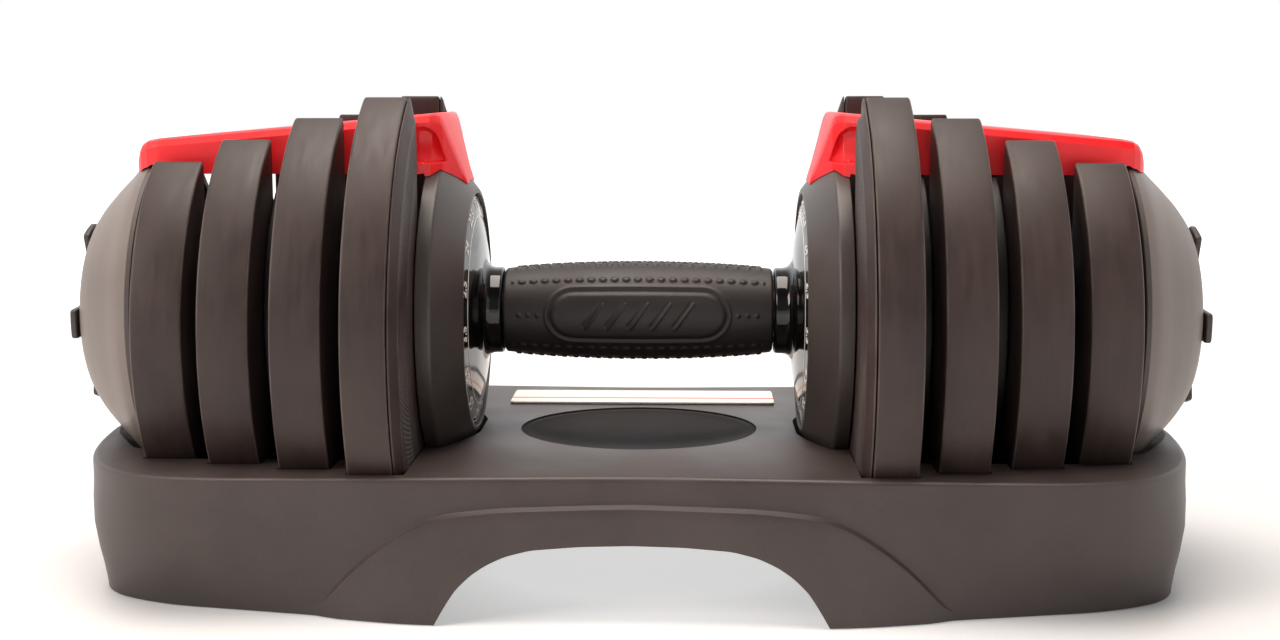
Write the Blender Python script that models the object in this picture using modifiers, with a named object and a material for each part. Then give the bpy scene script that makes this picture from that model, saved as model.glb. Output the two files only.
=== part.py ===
"""Dial-select adjustable dumbbell resting in its cradle.

Frame: metres, +Z up, X along the handle, origin on the ground under the middle of the grip.
Everything on the handle is laid out by a, the distance outward along the handle from its middle,
and by heights measured from the handle axis.  The left head is the right head turned half a turn
about the vertical, as the moulded parts of the real product are.
"""
import math

import bmesh
import bpy
from mathutils import Matrix

MM = 0.001
GAP = 0.3                 # between pieces that touch

# ---- overall ------------------------------------------------------------------------------
AXIS_Z = 96.5             # handle axis above the ground
LIFT_CLEAR = 0.8          # round a plate in its slot
SIDE_CLEAR = 0.5          # each side of a plate in its slot

# ---- handle -------------------------------------------------------------------------------
SHAFT_R = 8.0
GRIP_HALF = 51.2          # half length of the sleeve
GRIP_END_R = 16.5
GRIP_MID_R = 18.6
TUBE_R = 12.0             # selector tube
HUB_R = 15.0              # hubs of the discs on the tube

# ---- dial cone and inner housing -----------------------------------------------------------
NECK_R = 16.5
NECK_LEN = 5.0
CONE_EDGE_R = 44.4
CONE_START = 59.4         # foot of the cone
CONE_EDGE = 63.6
CONE_BACK = 66.0
HOUSING_IN = 62.0
HOUSING_SHOULDER = 72.3
HOUSING_LIP_R = 46.6
HOUSING_R = 60.0
CUP_WALL = 3.5

# ---- plates: (inner face, thickness, radius) ------------------------------------------------
PLATE_DROP = 4.6          # plate centres below the handle axis
SLOT_HALF = 38.0          # half width of the open slot
PLATES = (
    (78.2, 3.0, 95.1, 0.7),
    (81.6, 15.8, 95.1, 2.2),
    (105.0, 17.6, 88.4, 2.2),
    (131.3, 17.9, 81.5, 2.2),
    (156.3, 18.1, 74.4, 2.2),
)
PLATE_FLOOR = 5.3         # flat foot of the tall plates above the ground
TANG_HALF = 7.0
TANG_TOP = 44.0           # tangs hang between these two radii
TANG_BOTTOM = 49.5
TANG_OUT = 2.2

# ---- selector discs --------------------------------------------------------------------------
DISC_R = 58.5
DISC_WEB = 2.4
FLANGE_IN = 50.6
FLANGE_OUT = 54.0
FACE_GAP = 0.45           # between a flange and the plate's face

# ---- dial: kilograms on the dial, and each plate's share -------------------------------------
DIAL_KG = (2.5, 3.5, 4.5, 5.5, 6.5, 8, 9, 10, 11.5, 13.5, 16, 18, 20.5, 22.5, 24)
BARE_KG = 2.5
PLATE_KG = (0.5, 4.5, 2.75, 2.0, 1.0)
SHOWN = 12                # position under the pointer

# ---- outer dome and star ---------------------------------------------------------------------
DOME_GAP = 3.4            # from the last plate to the dome
DOME_R = 63.0
DOME_WALL = 3.6
DOME_LEN = 28.9
STACK_GAP = 1.2           # from the last plate to where the end hardware is measured from
STAR_THICK = 2.3
STAR_R = 34.5
STAR_HUB_R = 19.0
STAR_ARM = 5.5            # half width of an arm
STAR_ARMS = 5
STAR_FIRST = 21.0         # degrees

# ---- bridge ----------------------------------------------------------------------------------
BRIDGE_TOP_IN = 75.6
BRIDGE_TOP_OUT = 66.6
BRIDGE_HALF = 30.0
BRIDGE_CLEAR = 1.5        # above the discs

# ---- cradle ----------------------------------------------------------------------------------
DECK_Z = 50.8
DECK_THICK = 7.5
WALL = 3.5
POCKET_CLEAR = 1.6
FLOOR_THICK = 3.0
RIB_TOP = AXIS_Z - 62.5   # ribs reach up under the plates
DISH_A, DISH_B, DISH_DEPTH = 43.0, 38.5, 4.6
LABEL_X, LABEL_Y, LABEL_T = 110.0, 27.0, 0.8
LABEL_CY = 59.0
PANEL_PROUD = 2.0
# quarter outline: (rim x, rim y, ground x, ground y)
OUTLINE = (
    (0, 87.6, 0, 91.0), (40, 89.3, 40, 91.0), (78, 91.5, 75, 90.2), (112, 92.8, 110, 82.8),
    (147, 93.3, 141, 76.5), (166, 90.0, 161, 72.2), (178, 83.0, 176, 66.2),
    (188, 71.5, 187, 59.0), (195, 57.0, 193.6, 49.5), (199.6, 40.0, 197.0, 37.0),
    (202.6, 20.0, 198.6, 19.0), (204, 0, 199.2, 0),
)
STYLE_LINE = ((0, 40.4), (44, 39.4), (66, 37.3), (78, 32.2), (92, 22.6), (102.7, 12.0),
              (110, 3.4), (112.6, 1.2), (240, 1.2))
ARCH = ((68.5, -2), (64.0, 6.0), (60.0, 12.3), (54.8, 17.4), (49.5, 21.0), (43.0, 24.0),
        (34.3, 26.2), (18, 27.4), (0, 27.8))

PLATE_END = PLATES[4][0] + PLATES[4][1]
DOME_IN = PLATE_END + DOME_GAP
DOME_END = DOME_IN + DOME_LEN
STACK_IN = PLATE_END + STACK_GAP


# ---- scene helpers -----------------------------------------------------------------------------
for old in list(bpy.data.objects):
    bpy.data.objects.remove(old, do_unlink=True)

parts = bpy.data.collections.new("adjustable_dumbbell")
cutters = bpy.data.collections.new("cutters")
bpy.context.scene.collection.children.link(parts)
bpy.context.scene.collection.children.link(cutters)


def srgb(code):
    """#rrggbb to linear RGBA."""
    vals = [int(code[i:i + 2], 16) / 255 for i in (1, 3, 5)]
    lin = [v / 12.92 if v <= 0.04045 else ((v + 0.055) / 1.055) ** 2.4 for v in vals]
    return (*lin, 1.0)


def material(name, code, rough, metal=0.0):
    m = bpy.data.materials.new(name)
    m.use_nodes = True
    b = m.node_tree.nodes["Principled BSDF"]
    b.inputs["Base Color"].default_value = srgb(code)
    b.inputs["Roughness"].default_value = rough
    b.inputs["Metallic"].default_value = metal
    return m


CRADLE_GREY = material("cradle_grey", "#4E4745", 0.62)
PLATE_COAT = material("plate_coat", "#443D3B", 0.5)
HOUSING_GREY = material("housing_grey", "#4A4442", 0.55)
DOME_GREY = material("dome_grey", "#7A6E68", 0.5)
GLOSS_BLACK = material("gloss_black", "#0C0B0B", 0.12)
DISC_BLACK = material("disc_black", "#151313", 0.5)
GRIP_BLACK = material("grip_black", "#1A1818", 0.6)
BRIDGE_RED = material("bridge_red", "#E8222A", 0.42)
STEEL = material("steel", "#9A9A98", 0.35, 1.0)
LABEL_WHITE = material("label_white", "#EDE6DD", 0.5)
FOOT_RUBBER = material("foot_rubber", "#161515", 0.85)


def add(name, mesh, mat, coll=parts, parent=None):
    ob = bpy.data.objects.new(name, mesh)
    coll.objects.link(ob)
    if mat:
        ob.data.materials.append(mat)
    if parent:
        ob.parent = parent
    if coll is cutters:
        ob.hide_render = True
        ob.display_type = 'WIRE'
    return ob


def turned_profile(name, pts):
    """Mesh of edges for Screw: (radius, height) in mm, running down its outer side."""
    area = 0.0
    for (r0, z0), (r1, z1) in zip(pts, pts[1:] + pts[:1]):
        area += r0 * z1 - r1 * z0
    if area > 0:
        pts = pts[::-1]
    open_ends = pts[0][0] == 0 or pts[-1][0] == 0 or any(r == 0 for r, _ in pts)
    if open_ends:
        k = next(i for i, (r, _) in enumerate(pts) if r == 0 and pts[i - 1][0] == 0)
        pts = pts[k:] + pts[:k]
    bm = bmesh.new()
    vs = [bm.verts.new((r * MM, 0, z * MM)) for r, z in pts]
    for a, b in zip(vs, vs[1:]):
        bm.edges.new((a, b))
    if not open_ends:
        bm.edges.new((vs[-1], vs[0]))
    me = bpy.data.meshes.new(name)
    bm.to_mesh(me)
    bm.free()
    return me


def screw(ob, steps):
    m = ob.modifiers.new("turn", 'SCREW')
    m.steps = m.render_steps = steps
    m.use_merge_vertices = True
    m.merge_threshold = 0.00002
    m.use_smooth_shade = True


def turned(name, pts, mat, steps=48, coll=parts, parent=None):
    ob = add(name, turned_profile(name, list(pts)), mat, coll, parent)
    screw(ob, steps)
    return ob


def extruded_mesh(name, outlines, lo, hi, place):
    """Closed prisms: each 2D outline run from lo to hi; place(u, v, w) gives the point."""
    bm = bmesh.new()
    for pts in outlines:
        face = bm.faces.new([bm.verts.new(place(u, v, lo)) for u, v in pts])
        out = bmesh.ops.extrude_face_region(bm, geom=[face])
        step = [b - a for a, b in zip(place(0, 0, lo), place(0, 0, hi))]
        bmesh.ops.translate(bm, vec=step, verts=[g for g in out["geom"]
                                                 if isinstance(g, bmesh.types.BMVert)])
    bmesh.ops.recalc_face_normals(bm, faces=bm.faces)
    me = bpy.data.meshes.new(name)
    bm.to_mesh(me)
    bm.free()
    return me


def side_place(y, z, a):
    """Head coordinates: y across, z up from the handle axis, a outward, all in mm."""
    return (-z * MM, y * MM, a * MM)


def world_xz(x, z, y):
    return (x * MM, y * MM, z * MM)


def world_xy(x, y, z):
    return (x * MM, y * MM, z * MM)


def bevel(ob, width, segments=1, angle=40):
    m = ob.modifiers.new("edge", 'BEVEL')
    m.width = width * MM
    m.segments = segments
    m.limit_method = 'ANGLE'
    m.angle_limit = math.radians(angle)


def boolean(ob, other, operation='DIFFERENCE'):
    m = ob.modifiers.new(operation.lower(), 'BOOLEAN')
    m.operation = operation
    m.solver = 'EXACT'
    m.object = other


def box_outline(hu, v0, v1):
    return [(-hu, v0), (hu, v0), (hu, v1), (-hu, v1)]


def arc(cx, cy, r, a0, a1, step=7.5):
    n = max(2, int(math.ceil(abs(a1 - a0) / step)))
    return [(cx + r * math.cos(math.radians(a0 + (a1 - a0) * i / n)),
             cy + r * math.sin(math.radians(a0 + (a1 - a0) * i / n))) for i in range(n + 1)]


def empty(name, location, rotation=(0, 0, 0), parent=None):
    ob = bpy.data.objects.new(name, None)
    parts.objects.link(ob)
    ob.location = location
    ob.rotation_euler = rotation
    if parent:
        ob.parent = parent
    return ob


# ---- selector rule -------------------------------------------------------------------------------
def carried(setting):
    """Plates whose sum comes nearest to half of the added weight; fewer plates win a tie."""
    want = (DIAL_KG[setting] - BARE_KG) / 2
    best = None
    for code in range(2 ** len(PLATE_KG)):
        picks = [k for k in range(len(PLATE_KG)) if code >> k & 1]
        key = (round(abs(sum(PLATE_KG[k] for k in picks) - want), 3), len(picks), code)
        if best is None or key < best[0]:
            best = (key, picks)
    return best[1]


CARRIED = [carried(i) for i in range(len(DIAL_KG))]


def flange_outlines(plate):
    """Ring sectors, in (y, z), under the tang at every setting that carries this plate."""
    pitch = 360 / len(DIAL_KG)
    out = []
    n = len(DIAL_KG)
    on = [plate in CARRIED[i] for i in range(n)]
    if all(on) or not any(on):
        return []
    start = next(i for i in range(n) if on[i] and not on[i - 1])
    i = start
    while i < start + n:
        if not on[i % n]:
            i += 1
            continue
        j = i
        while on[(j + 1) % n] and j + 1 < start + n:
            j += 1
        a0 = -90 + (i - SHOWN) * pitch - pitch / 2 + 1.0
        a1 = -90 + (j - SHOWN) * pitch + pitch / 2 - 1.0
        out.append(arc(0, 0, FLANGE_OUT, a0, a1, 15) + arc(0, 0, FLANGE_IN, a1, a0, 15))
        i = j + 1
    return out


# ---- heads ------------------------------------------------------------------------------------------
def plate_outline(radius, slot=SLOT_HALF, foot=None, step=10):
    """Round plate, open at the top, with a flat foot where it would pass below it."""
    cz = -PLATE_DROP
    a_slot = math.degrees(math.acos(slot / radius))
    foot_z = (PLATE_FLOOR if foot is None else foot) - AXIS_Z
    pts = []
    if cz - radius < foot_z:
        a_foot = math.degrees(math.asin((foot_z - cz) / radius))
        pts += arc(0, cz, radius, a_slot, a_foot, step)
        pts += arc(0, cz, radius, -180 - a_foot, -180 - a_slot, step)
    else:
        pts += arc(0, cz, radius, a_slot, -180 - a_slot, step)
    pts += arc(0, 0, slot, 180, 360, 15)
    return pts


def tang_mesh(name, inner, outer):
    return extruded_mesh(name, [box_outline(TANG_HALF, -TANG_BOTTOM, -TANG_TOP)], inner, outer,
                         side_place)


HOUSING = [(CONE_EDGE_R + 0.6, HOUSING_IN), (HOUSING_LIP_R, HOUSING_IN),
           (HOUSING_R, HOUSING_SHOULDER), (HOUSING_R, PLATES[0][0] - 0.6),
           (HOUSING_R - CUP_WALL, PLATES[0][0] - 0.6), (HOUSING_R - CUP_WALL, HOUSING_SHOULDER),
           (TUBE_R + 2.4, HOUSING_SHOULDER), (TUBE_R + 2.4, CONE_BACK + 0.4),
           (CONE_EDGE_R + 0.6, CONE_BACK + 0.4)]

DOME_CURVE = [(1.0, 0.0), (1.0, 0.073), (0.956, 0.19), (0.911, 0.290), (0.852, 0.41),
              (0.683, 0.772), (0.543, 0.972), (0.476, 1.0)]
DOME_OUT = [(DOME_R * fr, DOME_IN + DOME_LEN * fl) for fr, fl in DOME_CURVE]


def clearance_profile(extra):
    """Everything turned about the handle axis, grown by extra."""
    pts = [(0, HOUSING_IN - extra), (HOUSING_LIP_R + extra * 0.5, HOUSING_IN - extra),
           (HOUSING_R + extra, HOUSING_SHOULDER - extra * 0.6), (HOUSING_R + extra, DOME_IN - 0.5)]
    pts += [(r + extra * 1.1, a + (extra * 0.5 if a > DOME_IN else -0.5))
            for r, a in DOME_OUT if r > DOME_R * 0.66]
    last = pts[-1]
    return pts + [(0, last[1])]


# plate k is held by disc FLANGED[k][0], on that disc's inner (-1) or outer (+1) face
FLANGED = {0: (0, 1), 1: (1, -1), 2: (2, -1), 3: (3, -1), 4: (3, 1)}
HOUSE_CUP = HOUSING_SHOULDER + 0.4
WEB = [HOUSE_CUP]
for _k in (1, 2):
    WEB.append(PLATES[_k][0] + PLATES[_k][1] + TANG_OUT + 0.4)
WEB.append(PLATES[3][0] + PLATES[3][1] + TANG_OUT + 0.4)
GAP_34 = PLATES[4][0] - PLATES[3][0] - PLATES[3][1]
WEB_T = [DISC_WEB, DISC_WEB, DISC_WEB + 0.6, GAP_34 - 2 * (TANG_OUT + 0.4)]


def head(side):
    """One head, side = +1 at +X or -1 at -X."""
    tag = "right" if side > 0 else "left"
    turn = (0, math.radians(90), 0 if side > 0 else math.pi)
    frame = empty(tag + "_head_frame", (0, 0, AXIS_Z * MM), turn)
    dial = empty(tag + "_dial_axis", (0, 0, 0), parent=frame)

    # dial cone with its neck
    cone = [(TUBE_R + GAP, GRIP_HALF + 0.4), (NECK_R - 0.8, GRIP_HALF + 0.4),
            (NECK_R, GRIP_HALF + 1.2), (NECK_R, GRIP_HALF + NECK_LEN),
            (NECK_R + 0.9, CONE_START - 1.6), (NECK_R + 3.2, CONE_START - 0.6),
            (25.7, CONE_START), (42.2, CONE_EDGE - 0.8), (CONE_EDGE_R, CONE_EDGE),
            (CONE_EDGE_R, CONE_BACK), (TUBE_R + GAP, CONE_BACK)]
    turned(tag + "_dial_cone", cone, GLOSS_BLACK, 24, parent=dial)

    # selector tube, shaft end hardware
    turned(tag + "_selector_tube", [(SHAFT_R + GAP, GRIP_HALF + 0.8), (TUBE_R, GRIP_HALF + 0.8),
                                    (TUBE_R, STACK_IN + 14), (SHAFT_R + GAP, STACK_IN + 14)],
           STEEL, 16, parent=dial)
    turned(tag + "_end_washer", [(SHAFT_R + GAP, STACK_IN + 14.3), (TUBE_R, STACK_IN + 14.3),
                                 (TUBE_R, STACK_IN + 16), (SHAFT_R + GAP, STACK_IN + 16)],
           STEEL, 16, parent=frame)
    nut = add(tag + "_end_nut", extruded_mesh(
        tag + "_end_nut", [arc(0, 0, TUBE_R - 0.4, 0, 300, 60)], STACK_IN + 16.3, STACK_IN + 22,
        side_place), STEEL, parent=frame)
    bore = turned("cut_nut_" + tag, [(0, STACK_IN + 15), (SHAFT_R + GAP, STACK_IN + 15),
                                     (SHAFT_R + GAP, STACK_IN + 23), (0, STACK_IN + 23)],
                  None, 20, cutters, frame)
    boolean(nut, bore)
    turned(tag + "_end_plug", [(0, DOME_END - 7.4), (TUBE_R, DOME_END - 7.4),
                               (TUBE_R, DOME_END - 0.6), (0, DOME_END - 0.6)],
           DISC_BLACK, 16, parent=dial)

    # bearing and housing
    turned(tag + "_dial_bearing", [(TUBE_R + GAP, CONE_BACK + 0.6), (TUBE_R + 2.1, CONE_BACK + 0.6),
                                   (TUBE_R + 2.1, HOUSING_SHOULDER - 0.2),
                                   (TUBE_R + GAP, HOUSING_SHOULDER - 0.2)],
           DISC_BLACK, 16, parent=frame)
    housing = turned(tag + "_inner_housing", HOUSING, HOUSING_GREY, 30, parent=frame)
    web_mid = (CONE_BACK + 0.4 + HOUSING_SHOULDER) / 2
    pin_t, pin_hw = 1.5, 4.0
    pin_foot = HOUSING_LIP_R + (HOUSING_R - HOUSING_LIP_R) * (
        web_mid - pin_t - HOUSING_IN) / (HOUSING_SHOULDER - HOUSING_IN) + 0.9
    notch = add("cut_notch_" + tag, extruded_mesh(
        "cut_notch", [box_outline(TANG_HALF + 2.5, -HOUSING_R - 3, -TANG_BOTTOM + 1)],
        HOUSING_SHOULDER + 2.2, PLATES[0][0] + 1, side_place), None, cutters, frame)
    boolean(housing, notch)
    pin_way = add("cut_pin_" + tag, extruded_mesh(
        "cut_pin", [box_outline(pin_hw + GAP, -HOUSING_R - 3, -34)],
        web_mid - pin_t - GAP, web_mid + pin_t + GAP, side_place), None, cutters, frame)
    boolean(housing, pin_way)
    add(tag + "_lock_pin", extruded_mesh(
        tag + "_lock_pin", [box_outline(pin_hw, -pin_foot, -42)],
        web_mid - pin_t, web_mid + pin_t, side_place), STEEL, parent=frame)
    add(tag + "_lock_spring", extruded_mesh(
        tag + "_lock_spring", [box_outline(pin_hw - 1.2, -41.6, -34.4)],
        web_mid - pin_t + 0.3, web_mid + pin_t - 0.3, side_place), STEEL, parent=frame)

    # selector discs with hubs that stack along the tube
    ends = [HOUSE_CUP] + [w - GAP for w in WEB[1:]] + [DOME_IN + 0.4]
    for k in range(4):
        hub_end = ends[k + 1] - (0 if k == 3 else 0.0)
        r_out = DISC_R if k else HOUSING_R - CUP_WALL - 0.6
        prof = [(TUBE_R + GAP, WEB[k]), (r_out, WEB[k]), (r_out, WEB[k] + WEB_T[k]),
                (HUB_R, WEB[k] + WEB_T[k]), (HUB_R, hub_end), (TUBE_R + GAP, hub_end)]
        disc = turned("%s_selector_disc_%d" % (tag, k + 1), prof, DISC_BLACK, 24, parent=dial)
        for plate, (owner, face) in FLANGED.items():
            if owner != k:
                continue
            outlines = flange_outlines(plate)
            if face > 0:
                lo = WEB[k] + WEB_T[k] - 0.5
                hi = PLATES[plate][0] - FACE_GAP
            else:
                lo = PLATES[plate][0] + PLATES[plate][1] + FACE_GAP
                hi = WEB[k] + 0.5
            if outlines:
                fl = add("join_flange_%s_%d" % (tag, plate),
                         extruded_mesh("flange", outlines, lo, hi, side_place),
                         None, cutters, dial)
                boolean(disc, fl, 'UNION')

    # plates
    for k, (inner, thick, radius, edge) in enumerate(PLATES):
        pl = add("%s_plate_%d" % (tag, k + 1), extruded_mesh(
            "%s_plate_%d" % (tag, k + 1), [plate_outline(radius)], inner, inner + thick,
            side_place), PLATE_COAT, parent=frame)
        bevel(pl, edge)
        face = FLANGED[k][1]
        if face > 0:
            lo, hi = inner - TANG_OUT, inner + 0.9
        else:
            lo, hi = inner + thick - 0.9, inner + thick + TANG_OUT
        tang = add("join_tang_%s_%d" % (tag, k), tang_mesh("tang", lo, hi), None, cutters, frame)
        boolean(pl, tang, 'UNION')

    # dome, star
    wall = DOME_WALL
    inside = [(DOME_R - wall, DOME_IN), (DOME_R - wall, DOME_IN + 2.0), (53.5, DOME_IN + 8),
              (44.0, DOME_IN + 17), (33.0, DOME_END - 6.6), (TUBE_R + 5, DOME_END - 6.6),
              (TUBE_R + 5, DOME_IN + 0.7), (TUBE_R + GAP, DOME_IN + 0.7),
              (TUBE_R + GAP, DOME_END)]
    turned(tag + "_outer_dome", DOME_OUT + inside[::-1], DOME_GREY, 28, parent=dial)
    star = []
    for i in range(STAR_ARMS):
        mid = math.radians(90 + STAR_FIRST + i * 360 / STAR_ARMS)
        half = math.asin(STAR_ARM / STAR_R)
        foot = math.asin(STAR_ARM * 1.15 / STAR_HUB_R)
        for r, d in ((STAR_HUB_R, -foot), (STAR_R - 2, -half), (STAR_R, -half * 0.7),
                     (STAR_R, half * 0.7), (STAR_R - 2, half), (STAR_HUB_R, foot)):
            star.append((r * math.cos(mid + d), r * math.sin(mid + d)))
        star.append((STAR_HUB_R * 0.93 * math.cos(mid + math.pi / STAR_ARMS),
                     STAR_HUB_R * 0.93 * math.sin(mid + math.pi / STAR_ARMS)))
    if side < 0:
        star = [(-y, z) for y, z in star]
    add(tag + "_star_knob", extruded_mesh(tag + "_star_knob", [star], DOME_END + GAP,
                                          DOME_END + GAP + STAR_THICK, side_place),
        DISC_BLACK, parent=dial)

    # bridge: sections along the handle, cut clear of all that turns beneath it
    end = STACK_IN + 11
    slope = (BRIDGE_TOP_OUT - BRIDGE_TOP_IN) / (DOME_IN - 74)
    stations = [(64.4, 51.5, 12.0), (68.2, 63.0, 18.0), (71.8, 74.2, 24.5), (74.0, 75.6, 28.0),
                (80.0, BRIDGE_TOP_IN + 6 * slope, BRIDGE_HALF),
                (DOME_IN, BRIDGE_TOP_OUT, BRIDGE_HALF),
                (end - 5.5, BRIDGE_TOP_OUT - 1.4, BRIDGE_HALF - 2),
                (end - 2.0, BRIDGE_TOP_OUT - 4.0, BRIDGE_HALF - 6),
                (end, BRIDGE_TOP_OUT - 8.5, BRIDGE_HALF - 12)]
    bm = bmesh.new()
    rings = []
    for a, top, hw in stations:
        ch = min(4.5, hw * 0.3)
        ring = [(-hw, 30), (-hw, top - 4.5), (-hw + ch * 0.8, top - 0.7), (-hw + ch * 2, top),
                (hw - ch * 2, top), (hw - ch * 0.8, top - 0.7), (hw, top - 4.5), (hw, 30)]
        rings.append([bm.verts.new(side_place(y, z, a)) for y, z in ring])
    for r0, r1 in zip(rings, rings[1:]):
        for i in range(len(r0)):
            j = (i + 1) % len(r0)
            bm.faces.new((r0[i], r0[j], r1[j], r1[i]))
    bm.faces.new(rings[0])
    bm.faces.new(rings[-1])
    bmesh.ops.recalc_face_normals(bm, faces=bm.faces)
    me = bpy.data.meshes.new(tag + "_top_bridge")
    bm.to_mesh(me)
    bm.free()
    bridge = add(tag + "_top_bridge", me, BRIDGE_RED, parent=frame)
    cut = [(0, HOUSING_IN - 1), (HOUSING_LIP_R + GAP - 1.3, HOUSING_IN - 1),
           (HOUSING_R + GAP, HOUSING_SHOULDER - 0.2), (HOUSING_R + GAP, PLATES[0][0] - 1),
           (HOUSING_R + BRIDGE_CLEAR, PLATES[0][0] - 1), (HOUSING_R + BRIDGE_CLEAR, DOME_IN - 1)]
    cut += [(r + 1.2, a + 0.3 if a > DOME_IN + 1 else a - 1) for r, a in DOME_OUT
            if r > DOME_R * 0.66]
    cut.append((0, cut[-1][1]))
    under = turned("cut_bridge_" + tag, cut, None, 60, cutters, frame)
    boolean(bridge, under)

    # cradle pocket for this head, and the skin round it
    made = []
    for grow, floor, what in ((0.0, 0.0, "cut_well"), (WALL, FLOOR_THICK, "skin_well")):
        drum = turned("%s_drum_%s" % (what, tag), clearance_profile(POCKET_CLEAR + grow),
                      None, 30, cutters, frame)
        outs = []
        for k, (inner, thick, radius, edge) in enumerate(PLATES):
            if k == 0:
                continue
            lo = (PLATES[0][0] if k == 1 else inner) - SIDE_CLEAR - grow
            hi = inner + thick + SIDE_CLEAR + grow
            outs.append((radius + LIFT_CLEAR + grow, lo, hi))
        slots = []
        for radius, lo, hi in outs:
            cz = -PLATE_DROP + LIFT_CLEAR - GAP
            foot = PLATE_FLOOR - GAP - floor - AXIS_Z
            if cz - radius < foot:
                a_foot = math.degrees(math.asin((foot - cz) / radius))
                pts = arc(0, cz, radius, -a_foot * 0, a_foot, 9)
                pts += arc(0, cz, radius, -180 - a_foot, -180, 9)
            else:
                pts = arc(0, cz, radius, 0, -180, 9)
            slots.append((pts, lo, hi))
        bm = bmesh.new()
        for pts, lo, hi in slots:
            face = bm.faces.new([bm.verts.new(side_place(y, z, lo)) for y, z in pts])
            out = bmesh.ops.extrude_face_region(bm, geom=[face])
            bmesh.ops.translate(bm, vec=(0, 0, (hi - lo) * MM),
                                verts=[g for g in out["geom"]
                                       if isinstance(g, bmesh.types.BMVert)])
        bmesh.ops.recalc_face_normals(bm, faces=bm.faces)
        me = bpy.data.meshes.new(what)
        bm.to_mesh(me)
        bm.free()
        if grow:
            # the skins of neighbouring slots run into each other, so they are one block each
            slot_obs = []
            for n, (pts, lo, hi) in enumerate(slots):
                slot_obs.append(add("%s_slot_%s_%d" % (what, tag, n), extruded_mesh(
                    what, [pts], lo, hi, side_place), None, cutters, frame))
            made.append([drum] + slot_obs)
        else:
            made.append([drum, add("%s_slots_%s" % (what, tag), me, None, cutters, frame)])
        if not grow:
            relief_r = PLATES[4][2] + LIFT_CLEAR
            a_foot = math.degrees(math.asin((RIB_TOP - AXIS_Z + PLATE_DROP) / relief_r))
            pts = (arc(0, -PLATE_DROP, relief_r, 0, a_foot, 9)
                   + arc(0, -PLATE_DROP, relief_r, -180 - a_foot, -180, 9))
            made[0].append(add("cut_relief_" + tag, extruded_mesh(
                "cut_relief", [pts], PLATES[0][0] - SIDE_CLEAR + 0.05,
                PLATE_END + SIDE_CLEAR - 0.05, side_place), None, cutters, frame))
    return made


# ---- cradle -----------------------------------------------------------------------------------------
def smooth_row(rows, sub):
    """Catmull-Rom through rows of numbers, mirrored past both ends of the quarter."""
    first = tuple(-v if i % 2 == 0 else v for i, v in enumerate(rows[1]))
    last = tuple(v if i % 2 == 0 else -v for i, v in enumerate(rows[-2]))
    ext = [first] + list(rows) + [last]
    out = []
    for i in range(1, len(ext) - 2):
        p0, p1, p2, p3 = ext[i - 1:i + 3]
        for s in range(sub):
            t = s / sub
            out.append(tuple(0.5 * (2 * b + (c - a) * t + (2 * a - 5 * b + 4 * c - d) * t * t
                                    + (3 * b - a - 3 * c + d) * t ** 3)
                             for a, b, c, d in zip(p0, p1, p2, p3)))
    return out + [rows[-1]]


def table(pts, x):
    for (x0, y0), (x1, y1) in zip(pts, pts[1:]):
        if x <= x1:
            return y0 + (y1 - y0) * (x - x0) / (x1 - x0)
    return pts[-1][1]


QUARTER = smooth_row(OUTLINE, 2)


def skirt_point(col, z, proud, inset):
    """Point of the skirt in column col (a quarter) at height z."""
    rx, ry, gx, gy = col
    t = max(0.0, min(1.0, z / DECK_Z))
    x, y = gx + (rx - gx) * t, gy + (ry - gy) * t
    nx, ny = max(0.0, (rx - 120) / 84) ** 1.5, 1.0 if rx < 150 else max(0.0, (204 - rx) / 54)
    n = math.hypot(nx, ny) or 1.0
    nx, ny = nx / n, ny / n
    bulge = 2.2 * math.sin(math.pi * t) ** 2 * min(1.0, max(0.0, (rx - 90) / 60))
    off = proud + bulge - inset
    return x + nx * off, y + ny * off


def loft_cradle(name, levels, inset):
    """Closed loft of the whole outline; levels(x) gives (height, proud) rows."""
    cols = []
    q = QUARTER
    order = ([(c, 1, -1) for c in q[:-1]] + [(c, 1, 1) for c in q[:0:-1]]
             + [(c, -1, 1) for c in q[:-1]] + [(c, -1, -1) for c in q[:0:-1]])
    for c, sx, sy in order:
        rows = []
        for z, proud in levels(c[0]):
            x, y = skirt_point(c, z, proud, inset)
            rows.append((sx * x * MM, sy * y * MM, z * MM))
        cols.append(rows)
    bm = bmesh.new()
    grid = [[bm.verts.new(p) for p in rows] for rows in cols]
    n = len(grid)
    for i in range(n):
        a, b = grid[i], grid[(i + 1) % n]
        for j in range(len(a) - 1):
            bm.faces.new((a[j], b[j], b[j + 1], a[j + 1]))
    bm.faces.new([c[0] for c in grid])
    bm.faces.new([c[-1] for c in grid])
    bmesh.ops.recalc_face_normals(bm, faces=bm.faces)
    me = bpy.data.meshes.new(name)
    bm.to_mesh(me)
    bm.free()
    return me


def outer_levels(x):
    zs = table(STYLE_LINE, x)
    on = PANEL_PROUD * max(0.0, min(1.0, (112.6 - x) / 8))
    top = DECK_Z
    rows = [(0, on), (zs * 0.5, on), (zs, on), (zs + 2.2 if zs > 2 else zs + 1.0, 0.0)]
    z0 = rows[-1][0]
    rows += [(z0 + (top - 2.6 - z0) * f, 0.0) for f in (0.5, 1.0)]
    rows += [(top - 0.7, -0.6), (top, -2.2)]
    return rows


def inner_levels(x):
    top = DECK_Z - DECK_THICK
    return [(-1.0 if f == 0 else top * f, 0.0) for f in (0, 0.4, 1.0)]


cradle = add("cradle_shell", loft_cradle("cradle_shell", outer_levels, 0.0), CRADLE_GREY)
hollow = add("cut_hollow", loft_cradle("cut_hollow", inner_levels, WALL), None, cutters)
wells = [head(1), head(-1)]
for well in wells:
    for skin in well[1]:
        boolean(hollow, skin)
boolean(cradle, hollow)
for well in wells:
    for cut in well[0]:
        boolean(cradle, cut)

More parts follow.
